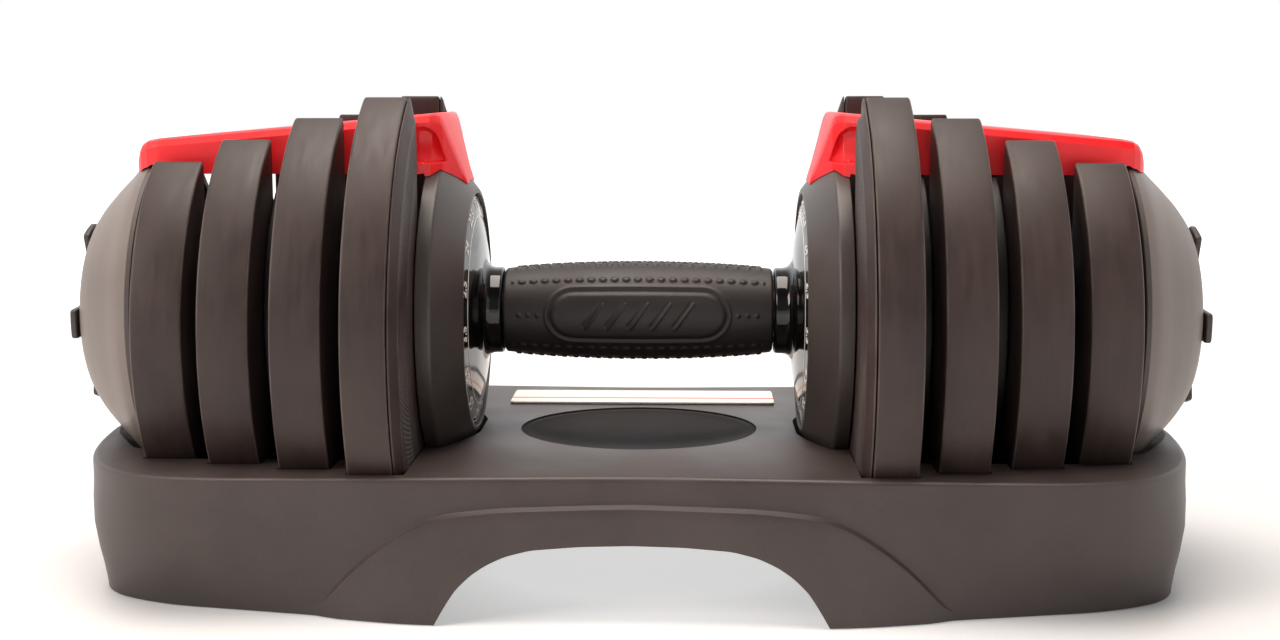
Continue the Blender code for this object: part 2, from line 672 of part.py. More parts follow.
arch_pts = [(x, z) for x, z in ARCH] + [(-x, z) for x, z in ARCH[-2::-1]]
arch = add("cut_arch", extruded_mesh("cut_arch", [arch_pts], -120, 120, world_xz), None, cutters)
boolean(cradle, arch)
for tag, grow, depth in (("dish", 0.0, DISH_DEPTH), ("lip", 3.0, 1.3)):
    oval = [((DISH_A + grow) * math.cos(math.radians(t)), (DISH_B + grow) * math.sin(
        math.radians(t)) - 2.0) for t in range(0, 360, 12)]
    dish = add("cut_" + tag, extruded_mesh("cut_" + tag, [oval], DECK_Z - depth, DECK_Z + 5,
                                           world_xy), None, cutters)
    boolean(cradle, dish)

label = add("cradle_label", extruded_mesh(
    "cradle_label", [[(-LABEL_X / 2, LABEL_CY - LABEL_Y / 2), (LABEL_X / 2, LABEL_CY - LABEL_Y / 2),
                      (LABEL_X / 2, LABEL_CY + LABEL_Y / 2), (-LABEL_X / 2, LABEL_CY + LABEL_Y / 2)]],
    DECK_Z + GAP, DECK_Z + GAP + LABEL_T, world_xy), LABEL_WHITE)

FOOT_X = PLATES[1][0] + PLATES[1][1] / 2
foot_top = PLATE_FLOOR - GAP - FLOOR_THICK - GAP
for i, (sx, sy) in enumerate(((1, 1), (-1, 1), (-1, -1), (1, -1))):
    bpy.ops.mesh.primitive_cylinder_add(vertices=16, radius=8 * MM, depth=foot_top * MM)
    foot = bpy.context.active_object
    for c in list(foot.users_collection):
        c.objects.unlink(foot)
    parts.objects.link(foot)
    foot.name = foot.data.name = "cradle_foot_%d" % (i + 1)
    foot.location = (sx * FOOT_X * MM, sy * 24 * MM, foot_top / 2 * MM)
    foot.data.materials.append(FOOT_RUBBER)

# ---- handle ------------------------------------------------------------------------------------------
handle = empty("handle_axis", (0, 0, AXIS_Z * MM), (0, math.radians(90), 0))
SHAFT_END = STACK_IN + 23.5
turned("handle_shaft", [(0, -SHAFT_END), (SHAFT_R - 0.8, -SHAFT_END), (SHAFT_R, -SHAFT_END + 0.8),
                        (SHAFT_R, SHAFT_END - 0.8), (SHAFT_R - 0.8, SHAFT_END), (0, SHAFT_END)],
       STEEL, 16, parent=handle)
grip = [(SHAFT_R + GAP, -GRIP_HALF), (GRIP_END_R - 0.8, -GRIP_HALF)]
for i in range(5):
    t = -1 + i / 2
    grip.append((GRIP_END_R + (GRIP_MID_R - GRIP_END_R) * (1 - t * t), (GRIP_HALF - 0.8) * t))
grip += [(GRIP_END_R - 0.8, GRIP_HALF), (SHAFT_R + GAP, GRIP_HALF)]
turned("grip_sleeve", grip, GRIP_BLACK, 20, parent=handle)

for ob in parts.objects:
    if ob.type == 'MESH' and len(ob.data.polygons):
        ob.data.shade_smooth()
        ob.data.set_sharp_from_angle(angle=math.radians(30))
bpy.context.view_layer.update()
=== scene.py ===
# %% [markdown]
# # A dial-select dumbbell in its cradle
# The real object is a short steel handle with two heads.  Each head carries slotted round plates,
# black selector discs between them, a turning dial and a red bridge over the top.  The whole rests
# in a moulded cradle.  This lesson builds the looks of each piece around a fixed, measured frame.

# %% Load the frame
import math

import bmesh
import bpy
import numpy as np
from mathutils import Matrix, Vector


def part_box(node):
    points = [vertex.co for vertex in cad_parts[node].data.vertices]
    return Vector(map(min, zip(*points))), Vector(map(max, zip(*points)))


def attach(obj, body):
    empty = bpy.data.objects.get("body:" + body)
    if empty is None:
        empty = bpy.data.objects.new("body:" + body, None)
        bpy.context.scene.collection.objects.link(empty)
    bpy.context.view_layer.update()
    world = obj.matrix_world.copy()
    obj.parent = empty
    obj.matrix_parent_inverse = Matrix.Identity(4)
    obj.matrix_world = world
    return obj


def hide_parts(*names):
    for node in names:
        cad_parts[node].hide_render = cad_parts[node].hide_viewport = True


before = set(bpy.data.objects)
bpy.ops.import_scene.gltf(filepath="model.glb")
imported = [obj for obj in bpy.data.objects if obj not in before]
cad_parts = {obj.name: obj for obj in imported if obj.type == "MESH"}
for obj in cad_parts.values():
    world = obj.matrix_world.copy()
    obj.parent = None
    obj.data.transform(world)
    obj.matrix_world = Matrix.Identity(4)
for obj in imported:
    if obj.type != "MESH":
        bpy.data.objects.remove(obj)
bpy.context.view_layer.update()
MM = 0.001

# %% [markdown]
# ## Measures from the frame
# Every piece is placed from the frame's own nodes.  Distances outward along the handle are called
# `a`, and heights are measured from the handle's axis, all in millimetres.

# %% Read the measures


def span(node, axis):
    """Lowest and highest coordinate of a frame node along axis 0, 1 or 2, in mm."""
    low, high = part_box(node)
    return low[axis] / MM, high[axis] / MM


AXIS = sum(span("handle_shaft", 2)) / 2
TANG = 2.2      # how far a tang stands off its plate
DROP = 4.6      # how far the plates' centre is below the handle's axis
SLOT = 38.0     # half width of a plate's slot
RIB_TOP = 34.0  # height of the cradle's ribs above the ground
plates = []
for k in range(1, 6):
    a0, a1 = span("right_plate_%d" % k, 0)
    a0, a1 = (a0 + TANG, a1) if k in (1, 5) else (a0, a1 - TANG)
    y0, y1 = span("right_plate_%d" % k, 1)
    plates.append((a0, a1, (y1 - y0) / 2))
FOOT = span("right_plate_2", 2)[0] - AXIS
DECK = span("cradle_shell", 2)[1]
DOME_IN, DOME_END = span("right_outer_dome", 0)
GRIP_END = span("grip_sleeve", 0)[1]
print("axis %.1f mm up, plates from %.1f to %.1f mm" % (AXIS, plates[0][0], plates[4][1]))

# %% [markdown]
# ## Surfaces from arrays
# A shape here is a grid of points, computed as whole arrays.  One helper stitches a grid into
# quads and another makes the mesh.  Stock primitives would be quicker, but they can't follow a
# formula.  The signed volume says whether the faces point outwards, and they are turned over if
# they don't.

# %% Grid to mesh


def grid_faces(rows, cols, wrap_rows=False, wrap_cols=False):
    """Quads (i, j), (i, j+1), (i+1, j+1), (i+1, j) of a grid, with optional wrap."""
    i = np.arange(rows if wrap_rows else rows - 1)
    j = np.arange(cols if wrap_cols else cols - 1)
    i, j = np.meshgrid(i, j, indexing="ij")
    i2, j2 = (i + 1) % rows, (j + 1) % cols
    quads = [i * cols + j, i * cols + j2, i2 * cols + j2, i2 * cols + j]
    return np.stack(quads, -1).reshape(-1, 4)


def end_caps(rows, cols):
    """First and last row of a grid as polygons that carry on its quads' winding."""
    i = np.arange(cols)
    return [i[::-1], i + (rows - 1) * cols]


def signed_volume(pts, quads):
    """One sixth of the sum of triple products over the fan triangles of each quad."""
    p = [pts[quads[:, n]] for n in range(4)]
    tri = np.einsum("ij,ij->i", p[0], np.cross(p[1], p[2]))
    tri = tri + np.einsum("ij,ij->i", p[0], np.cross(p[2], p[3]))
    return tri.sum() / 6


def make(name, pts, quads, caps=(), sharp=32, wear_and_highlight_marks=None):
    """Mesh object from points in mm, quads and cap polygons, with its faces outwards."""
    pts = np.asarray(pts, float).reshape(-1, 3)
    fans = [quads]
    for cap in caps:
        c = np.asarray(cap)
        fans.append(np.stack([np.full(len(c) - 2, c[0]), c[1:-1], c[2:], c[2:]], -1))
    flip = signed_volume(pts, np.concatenate(fans)) < 0
    faces = quads.tolist() + [list(map(int, c)) for c in caps]
    if flip:
        faces = [f[::-1] for f in faces]
    me = bpy.data.meshes.new(name)
    me.from_pydata((pts * MM).tolist(), [], faces)
    me.shade_smooth()
    me.set_sharp_from_angle(angle=math.radians(sharp))
    # The marks say how much paler each point is painted, as edge wear and as a painted highlight.
    if wear_and_highlight_marks is not None:
        layer = me.attributes.new("edge", 'FLOAT', 'POINT')
        layer.data.foreach_set("value", np.asarray(wear_and_highlight_marks, np.float32).ravel())
    ob = bpy.data.objects.new(name, me)
    bpy.context.scene.collection.objects.link(ob)
    return ob


def place(a, y, z, side):
    """Head coordinates to the world: the left head is the right one turned half a turn."""
    return np.stack([side * a, side * y, z + AXIS], -1)


# %% [markdown]
# ## Profiles and outlines
# Most edges on the real object are moulded or ground round.  A bevel modifier could round them,
# but it fails on narrow faces.  So the outlines themselves are rounded, as curves, before they
# are carried round or along, and a slab's rim gets its quarter rounds as extra rows.

# %% Profiles and outlines


def smooth_step(v):
    """3v^2 - 2v^3 between 0 and 1, flat outside."""
    v = np.clip(v, 0, 1)
    return v * v * (3 - 2 * v)


def resample(pts, step, closed=True, count=None):
    """Points every `step` mm along a polyline, or `count` points in all."""
    pts = np.asarray(pts, float)
    if closed:
        pts = np.vstack([pts, pts[:1]])
    run = np.r_[0, np.cumsum(np.linalg.norm(np.diff(pts, axis=0), axis=1))]
    n = count or max(8, int(round(run[-1] / step)))
    s = np.linspace(0, run[-1], n + 1)[: n if closed else n + 1]
    return np.stack([np.interp(s, run, pts[:, c]) for c in (0, 1)], -1)


def soften(pts, sigma, step):
    """Closed outline smoothed by a Gaussian of `sigma` mm, which rounds its corners."""
    k = np.arange(-int(3 * sigma / step) - 1, int(3 * sigma / step) + 2)
    w = np.exp(-0.5 * (k * step / sigma) ** 2)
    w = w / w.sum()
    return sum(wi * np.roll(pts, ki, axis=0) for wi, ki in zip(w, k))


def inset(pts, d):
    """Closed outline moved inwards by d along its normals."""
    t = np.roll(pts, -1, axis=0) - np.roll(pts, 1, axis=0)
    t /= np.linalg.norm(t, axis=1)[:, None]
    area = 0.5 * np.sum(pts[:, 0] * np.roll(pts[:, 1], -1) - np.roll(pts[:, 0], -1) * pts[:, 1])
    normal = np.stack([-t[:, 1], t[:, 0]], -1) * (1 if area > 0 else -1)
    return pts + normal * d


def circle_arc(cx, cy, r, d0, d1, n=90):
    """Points of an arc from d0 to d1 degrees."""
    t = np.radians(np.linspace(d0, d1, n))
    return np.stack([cx + r * np.cos(t), cy + r * np.sin(t)], -1)


def rounded(profile, radii, n=5):
    """Polyline whose corner k becomes a quadratic curve reaching radii[k] along each leg."""
    profile = np.asarray(profile, float)
    out = []
    m = len(profile)
    for k, (p, r) in enumerate(zip(profile, radii)):
        if r <= 0:
            out.append(p[None])
            continue
        q0, q1 = profile[(k - 1) % m], profile[(k + 1) % m]
        e0, e1 = q0 - p, q1 - p
        l0, l1 = np.linalg.norm(e0), np.linalg.norm(e1)
        b0, b1 = p + e0 / l0 * min(r, l0 * 0.49), p + e1 / l1 * min(r, l1 * 0.49)
        t = np.linspace(0, 1, n)[:, None]
        out.append((1 - t) ** 2 * b0 + 2 * t * (1 - t) * p + t ** 2 * b1)
    return np.vstack(out)


def lathe(name, profile, side=1, steps=144, sharp=32):
    """Closed (a, r) profile carried round the handle's axis: y = r cos t, z = r sin t."""
    p = np.asarray(profile, float)
    t = np.linspace(0, 2 * np.pi, steps, endpoint=False)
    a = np.repeat(p[:, :1], steps, 1)
    y, z = p[:, 1:] * np.cos(t), p[:, 1:] * np.sin(t)
    return make(name, place(a, y, z, side), grid_faces(len(p), steps, True, True), sharp=sharp)


def drum(name, profile, side=1, steps=96):
    """Open (a, r) profile carried round the handle's axis, with a flat cap at each end."""
    p = np.asarray(profile, float)
    t = np.linspace(0, 2 * np.pi, steps, endpoint=False)
    a = np.repeat(p[:, :1], steps, 1)
    y, z = p[:, 1:] * np.cos(t), p[:, 1:] * np.sin(t)
    return make(name, place(a, y, z, side), grid_faces(len(p), steps, False, True),
                end_caps(len(p), steps))


def eased(a0, a1, edge, seg=5):
    """Rim rows (inset, a, mark) of a slab from a0 to a1 with a quarter round on each edge; the
    mark says how much paler the round is painted, as wear and as a painted highlight.
    """
    t = np.linspace(0, np.pi / 2, seg)
    half = [edge * (1 - np.sin(t)), edge * (1 - np.cos(t)), np.sin(2 * t)]
    first = np.stack([half[0], a0 + half[1], half[2]], -1)
    return np.vstack([first, np.stack([half[0], a1 - half[1], half[2]], -1)[::-1]])


def slab(name, outline, rows, side=1, sharp=32):
    """outline(d), in (y, z) and inset by d, carried through rows of (inset, a, edge mark); the
    mark is how much paler the edge is painted, as wear and as a painted highlight.
    """
    rows = np.asarray(rows, float)
    rings = np.stack([outline(d) for d in rows[:, 0]])
    n = rings.shape[1]
    wide = np.ones((1, n))
    pts = place(rows[:, 1:2] * wide, rings[..., 0], rings[..., 1], side)
    return make(name, pts, grid_faces(len(rows), n, False, True), end_caps(len(rows), n), sharp,
                rows[:, 2:] * wide)


# %% [markdown]
# ## Helpers for colour and nodes
# Colours are written as sRGB hex and turned to linear once.  A material or a sky is a small graph:
# `wire` adds a node, sets its settings and links or sets its inputs.

# %% Colour and node helpers


def linear(code):
    """sRGB hex to a linear colour with alpha."""
    v = np.array([int(code[i:i + 2], 16) for i in (1, 3, 5)]) / 255
    v = np.where(v <= 0.04045, v / 12.92, ((v + 0.055) / 1.055) ** 2.4)
    return (*map(float, v), 1.0)


def wire(tree, kind, inputs=None, **settings):
    """Add a node: settings are its properties, inputs maps a socket to a value or a socket."""
    n = tree.nodes.new(kind)
    for key, value in settings.items():
        setattr(n, key, value)
    for key, value in (inputs or {}).items():
        if isinstance(value, bpy.types.NodeSocket):
            tree.links.new(value, n.inputs[key])
        else:
            n.inputs[key].default_value = value
    return n


# %% [markdown]
# ## Camera and light
# The camera stands at the height and distance of a seated viewer and looks slightly down.  The
# surround is white near the horizon and dimmer overhead, where a broad lamp takes over, so tops
# are lit and the sides fall off as they do on a product set.

# %% Camera and light
TILT_DOWN, TURN = 7.85, 1.59  # degrees
cam = bpy.data.objects.new("camera", bpy.data.cameras.new("camera"))
cam.location = (0.01845, -0.6493, 0.1821)
cam.rotation_euler = (math.radians(90 - TILT_DOWN), 0, math.radians(TURN))
cam.data.sensor_width = 36
cam.data.lens = 47.72
bpy.context.scene.collection.objects.link(cam)
bpy.context.scene.camera = cam

bpy.context.scene.view_settings.view_transform = 'Standard'
world = bpy.data.worlds.new("surround")
world.use_nodes = True
sky = world.node_tree
view_dir = wire(sky, "ShaderNodeTexCoord").outputs["Generated"]
split = wire(sky, "ShaderNodeSeparateXYZ", {0: view_dir})
above = wire(sky, "ShaderNodeMapRange", {0: split.outputs[2], 1: 0.06, 2: 0.14})
behind = wire(sky, "ShaderNodeMapRange", {0: split.outputs[1], 1: -0.4, 2: 0.6, 3: 0.22, 4: 1.5})
low_sky = wire(sky, "ShaderNodeMapRange", {0: split.outputs[2], 1: 0.45, 2: 0.75, 3: 1.0, 4: 0.35})
upper = wire(sky, "ShaderNodeMath", {0: behind.outputs[0], 1: low_sky.outputs[0], 2: -1.0},
             operation='MULTIPLY_ADD')
strength = wire(sky, "ShaderNodeMath", {0: above.outputs[0], 1: upper.outputs[0], 2: 1.0},
                operation='MULTIPLY_ADD')
sky.nodes["Background"].inputs[0].default_value = linear("#FFFFFF")
sky.links.new(strength.outputs[0], sky.nodes["Background"].inputs[1])
bpy.context.scene.world = world


def lamp(name, at, aim, size, watts):
    """Square area lamp at a point, turned to face another point."""
    data = bpy.data.lights.new(name, 'AREA')
    data.size, data.energy, data.color = size, watts, linear("#FFF3EA")[:3]
    ob = bpy.data.objects.new(name, data)
    ob.location = at
    d = np.array(aim, float) - np.array(at, float)
    ob.rotation_euler = (math.acos(-d[2] / np.linalg.norm(d)), 0,
                         math.atan2(d[1], d[0]) - math.pi / 2)
    bpy.context.scene.collection.objects.link(ob)


MIDDLE = (0, 0, 0.08)
lamp("key", (-1.1, -0.7, 0.8), MIDDLE, 0.6, 11)
lamp("fill", (0.9, -1.0, 0.5), MIDDLE, 0.9, 1.5)
lamp("top", (-0.1, 0.0, 1.3), MIDDLE, 0.9, 20)
print("camera, surround and three lamps set")

# %% [markdown]
# ## Starting a finish
# Every finish starts from one Principled shader with its own colour, roughness and IOR, and from
# the Object coordinates, which are metres in the frame and stay with the piece when it moves.

# %% Start a finish


def finish_named(name, base, rough, metal=0.0, ior=1.5, spec=0.5):
    """New material with its Principled shader set: material, tree, shader and coordinates."""
    m = bpy.data.materials.new(name)
    m.use_nodes = True
    tree = m.node_tree
    b = tree.nodes["Principled BSDF"]
    b.inputs["Base Color"].default_value = linear(base)
    b.inputs["Roughness"].default_value = rough
    b.inputs["Metallic"].default_value = metal
    if metal == 0:
        b.inputs["IOR"].default_value = ior
    b.inputs["Specular IOR Level"].default_value = spec
    return m, tree, b, wire(tree, "ShaderNodeTexCoord").outputs["Object"]


# %% [markdown]
# ## Moulded ABS of the cradle
# The cradle is injection-moulded ABS with a spark-eroded grain about 0.5 mm across, which breaks
# up the highlight into a soft sheen.  Grain is drawn at 0.7 mm so that it shows.

# %% Cradle finish


def moulded(name, dark, light, rough, grain=0.7, bump=0.12, speck=0.35):
    """Grained moulding: cloudy colour, fine specks and a bump, with roughness that wanders."""
    m, tree, b, where = finish_named(name, dark, rough)
    cloud = wire(tree, "ShaderNodeTexNoise", {0: where, "Scale": 28, "Detail": 4,
                                              "Roughness": 0.55}).outputs[0]
    fine = wire(tree, "ShaderNodeTexNoise", {0: where, "Scale": 1000 / grain, "Detail": 2,
                                             "Roughness": 0.6}).outputs[0]
    both = wire(tree, "ShaderNodeMath", {0: fine, 1: speck, 2: cloud}, operation='MULTIPLY_ADD')
    mix = wire(tree, "ShaderNodeMapRange", {0: both.outputs[0], 1: 0.4, 2: 0.95})
    colour = wire(tree, "ShaderNodeMix", {0: mix.outputs[0], 6: linear(dark), 7: linear(light)},
                  data_type='RGBA')
    tree.links.new(colour.outputs[2], b.inputs["Base Color"])
    shine = wire(tree, "ShaderNodeMapRange", {0: cloud, 1: 0.3, 2: 0.7, 3: rough - 0.05,
                                              4: rough + 0.07})
    tree.links.new(shine.outputs[0], b.inputs["Roughness"])
    relief = wire(tree, "ShaderNodeBump", {"Strength": bump, "Distance": 0.0004, "Height": fine})
    tree.links.new(relief.outputs[0], b.inputs["Normal"])
    return m


CRADLE_ABS = moulded("moulded_abs_cradle", "#332A28", "#463C39", 0.46)
# Dish floor: the darker colour is painted shade of the recess; the coarser grain and bump are real
# texture.
DISH_SHADED_ABS = moulded("moulded_abs_coarse_dish_painted_shade", "#1C1615", "#2A2221", 0.85, 0.9, 0.3, 0.45)
HOUSING_ABS = moulded("moulded_abs_housing", "#332D2B", "#463E3B", 0.42, 0.8, 0.12, 0.35)
DOME_ABS = moulded("moulded_abs_dome", "#6A5F59", "#7C716A", 0.44, 0.6, 0.05, 0.12)
# The dome's rim is painted darker than the dome: painted shade of the gap beside the last plate.
RIM_SHADED_ABS = moulded("moulded_abs_dome_rim_painted_gap_shade", "#463D3A", "#564C48", 0.46, 0.6, 0.07, 0.15)

# %% [markdown]
# ## Coated steel of the plates
# The plates are cut steel under a satin textured coat.  Rims pick up handling scuffs that run
# along the handle, and their edges are painted paler, partly as rubbed wear and partly as a
# painted highlight where the rounded edges catch the light.  The `edge` attribute, written with
# the mesh, says where and how strongly the edges are painted paler.

# %% Plate finish
COAT, tree, b, where = finish_named("powder_coated_steel", "#2E2725", 0.5, spec=0.4)
drawn = wire(tree, "ShaderNodeMapping", {0: where, 3: (6.0, 1.0, 1.0)}).outputs[0]
scuff = wire(tree, "ShaderNodeTexNoise", {0: drawn, "Scale": 60, "Detail": 5,
                                          "Roughness": 0.65}).outputs[0]
fine = wire(tree, "ShaderNodeTexNoise", {0: where, "Scale": 1300, "Detail": 2,
                                         "Roughness": 0.55}).outputs[0]
cloud = wire(tree, "ShaderNodeTexNoise", {0: where, "Scale": 22, "Detail": 3,
                                          "Roughness": 0.55}).outputs[0]
both = wire(tree, "ShaderNodeMath", {0: scuff, 1: 0.6, 2: cloud}, operation='MULTIPLY_ADD')
mix = wire(tree, "ShaderNodeMapRange", {0: both.outputs[0], 1: 0.5, 2: 1.1})
coat = wire(tree, "ShaderNodeMix", {0: mix.outputs[0], 6: linear("#291E1C"),
                                    7: linear("#40332F")}, data_type='RGBA')
# Edges painted paler by the edge attribute: rubbed wear, and a painted edge highlight.
edge = wire(tree, "ShaderNodeAttribute", attribute_name="edge").outputs["Fac"]
edge_wear_and_highlight = wire(tree, "ShaderNodeMath", {0: edge, 1: scuff}, operation='MULTIPLY')
wear_and_highlight_mix = wire(tree, "ShaderNodeMapRange", {0: edge_wear_and_highlight.outputs[0], 1: 0.25, 2: 0.75, 4: 0.55})
colour = wire(tree, "ShaderNodeMix", {0: wear_and_highlight_mix.outputs[0], 6: coat.outputs[2],
                                      7: linear("#7D716B")}, data_type='RGBA')
tree.links.new(colour.outputs[2], b.inputs["Base Color"])
shine = wire(tree, "ShaderNodeMapRange", {0: scuff, 1: 0.3, 2: 0.7, 3: 0.42, 4: 0.58})
tree.links.new(shine.outputs[0], b.inputs["Roughness"])
relief = wire(tree, "ShaderNodeBump", {"Strength": 0.10, "Distance": 0.0003, "Height": fine})
tree.links.new(relief.outputs[0], b.inputs["Normal"])
print("coated steel has %d nodes" % len(tree.nodes))

# %% [markdown]
# ## Smaller finishes
# The dial is polished black ABS, whose mirror is broken only by faint handling smears, so its
# roughness stays near 0.1.  Hidden discs are moulded nylon, the bridges red ABS, and the grip and
# feet soft elastomers.  The figures are thick pad-printing ink, and the hardware is zinc plate,
# a grey metal with a fine spangle.

# %% Other finishes
GLOSS, tree, b, where = finish_named("polished_black_abs", "#0A0909", 0.08)
smear = wire(tree, "ShaderNodeTexNoise", {0: where, "Scale": 70, "Detail": 3, "Roughness": 0.55})
shine = wire(tree, "ShaderNodeMapRange", {0: smear.outputs[0], 1: 0.35, 2: 0.7, 3: 0.05, 4: 0.13})
tree.links.new(shine.outputs[0], b.inputs["Roughness"])

NYLON = moulded("moulded_nylon_black", "#140F0F", "#1E1717", 0.45, 0.8, 0.08, 0.2)
RED_ABS = moulded("moulded_abs_red", "#F0101B", "#FB2129", 0.42, 0.9, 0.04, 0.1)
RUBBER = moulded("moulded_tpe_grip", "#1A1413", "#261E1D", 0.5, 0.5, 0.12, 0.3)
FOOT_TPE = moulded("foot_rubber_black", "#121111", "#191717", 0.85, 0.6, 0.2, 0.3)


def speckled(name, base, rough, metal, per_metre, detail, dark, light):
    """Finish whose colour runs from dark to light with one fine noise."""
    m, tree, b, where = finish_named(name, base, rough, metal)
    speck = wire(tree, "ShaderNodeTexNoise", {0: where, "Scale": per_metre, "Detail": detail,
                                              "Roughness": 0.55})
    mix = wire(tree, "ShaderNodeMapRange", {0: speck.outputs[0], 1: 0.3, 2: 0.7})
    colour = wire(tree, "ShaderNodeMix", {0: mix.outputs[0], 6: linear(dark), 7: linear(light)},
                  data_type='RGBA')
    tree.links.new(colour.outputs[2], b.inputs["Base Color"])
    return m


INK = speckled("pad_print_white", "#E9E4DE", 0.45, 0.0, 900, 2, "#DAD4CD", "#F2EEE9")
ZINC = speckled("zinc_plated_steel", "#A9AAA8", 0.3, 1.0, 300, 4, "#8E8F8D", "#B9BAB7")
print("materials made:", len(bpy.data.materials))

# %% [markdown]
# ## Dressing helper
# Each finished piece gets its material, rides on its body and stands for its frame node.

# %% Dress


def dress(ob, mat, body, *nodes):
    """Give a piece its material and body, and hide the frame nodes that it stands for."""
    ob.data.materials.clear()
    ob.data.materials.append(mat)
    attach(ob, body)
    if nodes:
        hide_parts(*nodes)
    return ob


SIDES = (("right", 1), ("left", -1))
CARRIED = (2, 3, 4)

# %% [markdown]
# ## Plates
# A plate is a disc with a wide slot open at the top, so that the handle can lift out of it.  It
# could be a cylinder with a Boolean slot, but then its corners would stay sharp.  So the outline
# is an arc and a U, resampled every millimetre and softened, and carried across the thickness.
# The thinnest plate has a long chamfer and a knurled ring on its inner face.  A tang on each
# plate is what a disc's flange hooks.

# %% Plate shapes
PLATE_ROUND = 1.6           # smoothing of the outline's corners
TANG_HALF = 7               # half width of a tang
TANG_Z = (-49.5, -44)       # a tang's lowest and highest point from the axis
KNURL_R = (73.5, 87.5)      # inner and outer radius of the knurled ring


def plate_outline(radius, d=0.0, count=560):
    """Arc about the plate's centre, flat foot, and the U slot about the handle's axis.

    An inset of d takes d off the radius and adds it to the foot and to the slot's half width.
    """
    rim_r, slot_r, foot = radius - d, SLOT + d, FOOT + d
    top = math.degrees(math.acos(slot_r / rim_r))
    if -DROP - rim_r < foot:
        low = math.degrees(math.asin((foot + DROP) / rim_r))
        rim = [circle_arc(0, -DROP, rim_r, top, low),
               circle_arc(0, -DROP, rim_r, -180 - low, -180 - top)]
    else:
        rim = [circle_arc(0, -DROP, rim_r, top, -180 - top, 180)]
    pts = np.vstack(rim + [circle_arc(0, 0, slot_r, 180, 360)])
    return soften(resample(pts, 1, True, count), PLATE_ROUND, 1.2)


def block(hy, z0, z1, a0, a1, side):
    """Corner points and quads of a box in head coordinates."""
    y, z, a = np.meshgrid([-hy, hy], [z0, z1], [a0, a1], indexing="ij")
    quads = np.array([[0, 1, 3, 2], [4, 6, 7, 5], [0, 4, 5, 1], [2, 3, 7, 6], [0, 2, 6, 4],
                      [1, 5, 7, 3]])
    return place(a.ravel(), y.ravel(), z.ravel(), side), quads


def chamfered(a0, a1, cut=5.2):
    """Rim rows of the thin plate: a long flat chamfer on its inner face, a small one outside.  The
    third figure of each row is how much paler the edge is painted, as wear and as a painted
    highlight.
    """
    return [(cut + 0.4, a0, 0), (cut, a0 + 0.12, 1), (cut - 0.5, a0 + 0.45, 0.2),
            (0.7, a1 - 0.75, 0.2), (0.25, a1 - 0.4, 0.9), (0.1, a1 - 0.1, 0.2), (0.1, a1, 0)]


def knurl(name, face, side, edge_y=45.0, pitch=2.0, depth=0.35):
    """Ring on the thin plate's face; height = depth x the ridge wave of (80 t + 1.3 r) / pitch.

    t runs round the plate's centre from one side of the slot to the other, and the ring stops
    short of the plate's flat foot.  A sunk back closes it.  Its ridge crests are painted paler, as
    wear and as a painted highlight.
    """
    r_in, r_out = KNURL_R
    u = np.linspace(0, 1, 15)[:, None]
    t = np.linspace(0, 1, 1000)[None]
    start = np.arcsin(edge_y / (r_in + u * (r_out - r_in)))
    t = start + t * (2 * np.pi - 2 * start)
    foot = (FOOT + 7 + DROP) / np.minimum(np.cos(t), -1e-3)
    reach = np.where(np.cos(t) < -0.5, np.minimum(r_out, foot), r_out)
    r = r_in + u * (reach - r_in)
    wave = np.abs(((80 * t + 1.3 * (r - 80)) / pitch) % 1 * 2 - 1)
    fade = smooth_step(u / 0.1) * smooth_step((1 - u) / 0.1)
    a = np.vstack([face - 0.05 - depth * wave * fade, np.full((2, t.shape[1]), face + 0.4)])
    r, t = np.vstack([r, r[-1:], r[:1]]), np.vstack([t, t[-1:], t[:1]])
    pts = place(a, -r * np.sin(t), r * np.cos(t) - DROP, side)
    # Ridge crests painted paler: wear, and a painted highlight on the ridges.
    wear_and_highlight_marks = np.vstack([wave * fade * 0.8, np.zeros((2, t.shape[1]))])
    rows, cols = a.shape
    i = np.arange(rows) * cols
    return make(name, pts, grid_faces(rows, cols, True, False), [i, i[::-1] + cols - 1], 70, wear_and_highlight_marks)


# %% Make the plates
for tag, side in SIDES:
    for k, (a0, a1, radius) in enumerate(plates, 1):
        rows = chamfered(a0, a1) if k == 1 else eased(a0, a1, 1.0)
        piece = slab("%s_plate_%d_body" % (tag, k),
                     lambda d, r=radius: plate_outline(r, d), rows, side)
        body = "%s_plate_%d_body" % (tag, k) if k in CARRIED else "cradle"
        dress(piece, COAT, body, "%s_plate_%d" % (tag, k))
        ta, tb = (a0 - TANG, a0 + 0.4) if k in (1, 5) else (a1 - 0.4, a1 + TANG)
        pts, quads = block(TANG_HALF, *TANG_Z, ta, tb, side)
        dress(make("%s_plate_%d_tang" % (tag, k), pts, quads), COAT, body)
    dress(knurl(tag + "_plate_1_knurl", plates[0][0], side), COAT, "cradle")
print("plates and tangs made: %d a side, from %.1f to %.1f mm in radius"
      % (len(plates), plates[-1][2], plates[0][2]))

# %% [markdown]
# ## Discs, housing, dial cone and dome
# These are turned or moulded round the handle's axis, so each is a rounded profile carried round.
# A Screw modifier would do it too, but an array also gives each profile its own corner radii.
# The dome's crown is a smoothed curve with a rim in front of it that is painted darker as the
# shade of the gap by the last plate, and each disc is a thin web with a hub that fills the gap
# between two plates.

# %% Profiles of the turned pieces
TUBE = 12.3   # radius of every bore on the selector tube
# each disc's inner face, thickness and radius
WEBS = ((72.7, 2.4, 55.9), (100.0, 4.5, 60.7), (125.2, 5.6, 60.7), (151.8, 1.9, 60.7))
HUB_ENDS = (99.6, 124.8, 151.4, DOME_IN + 0.3)

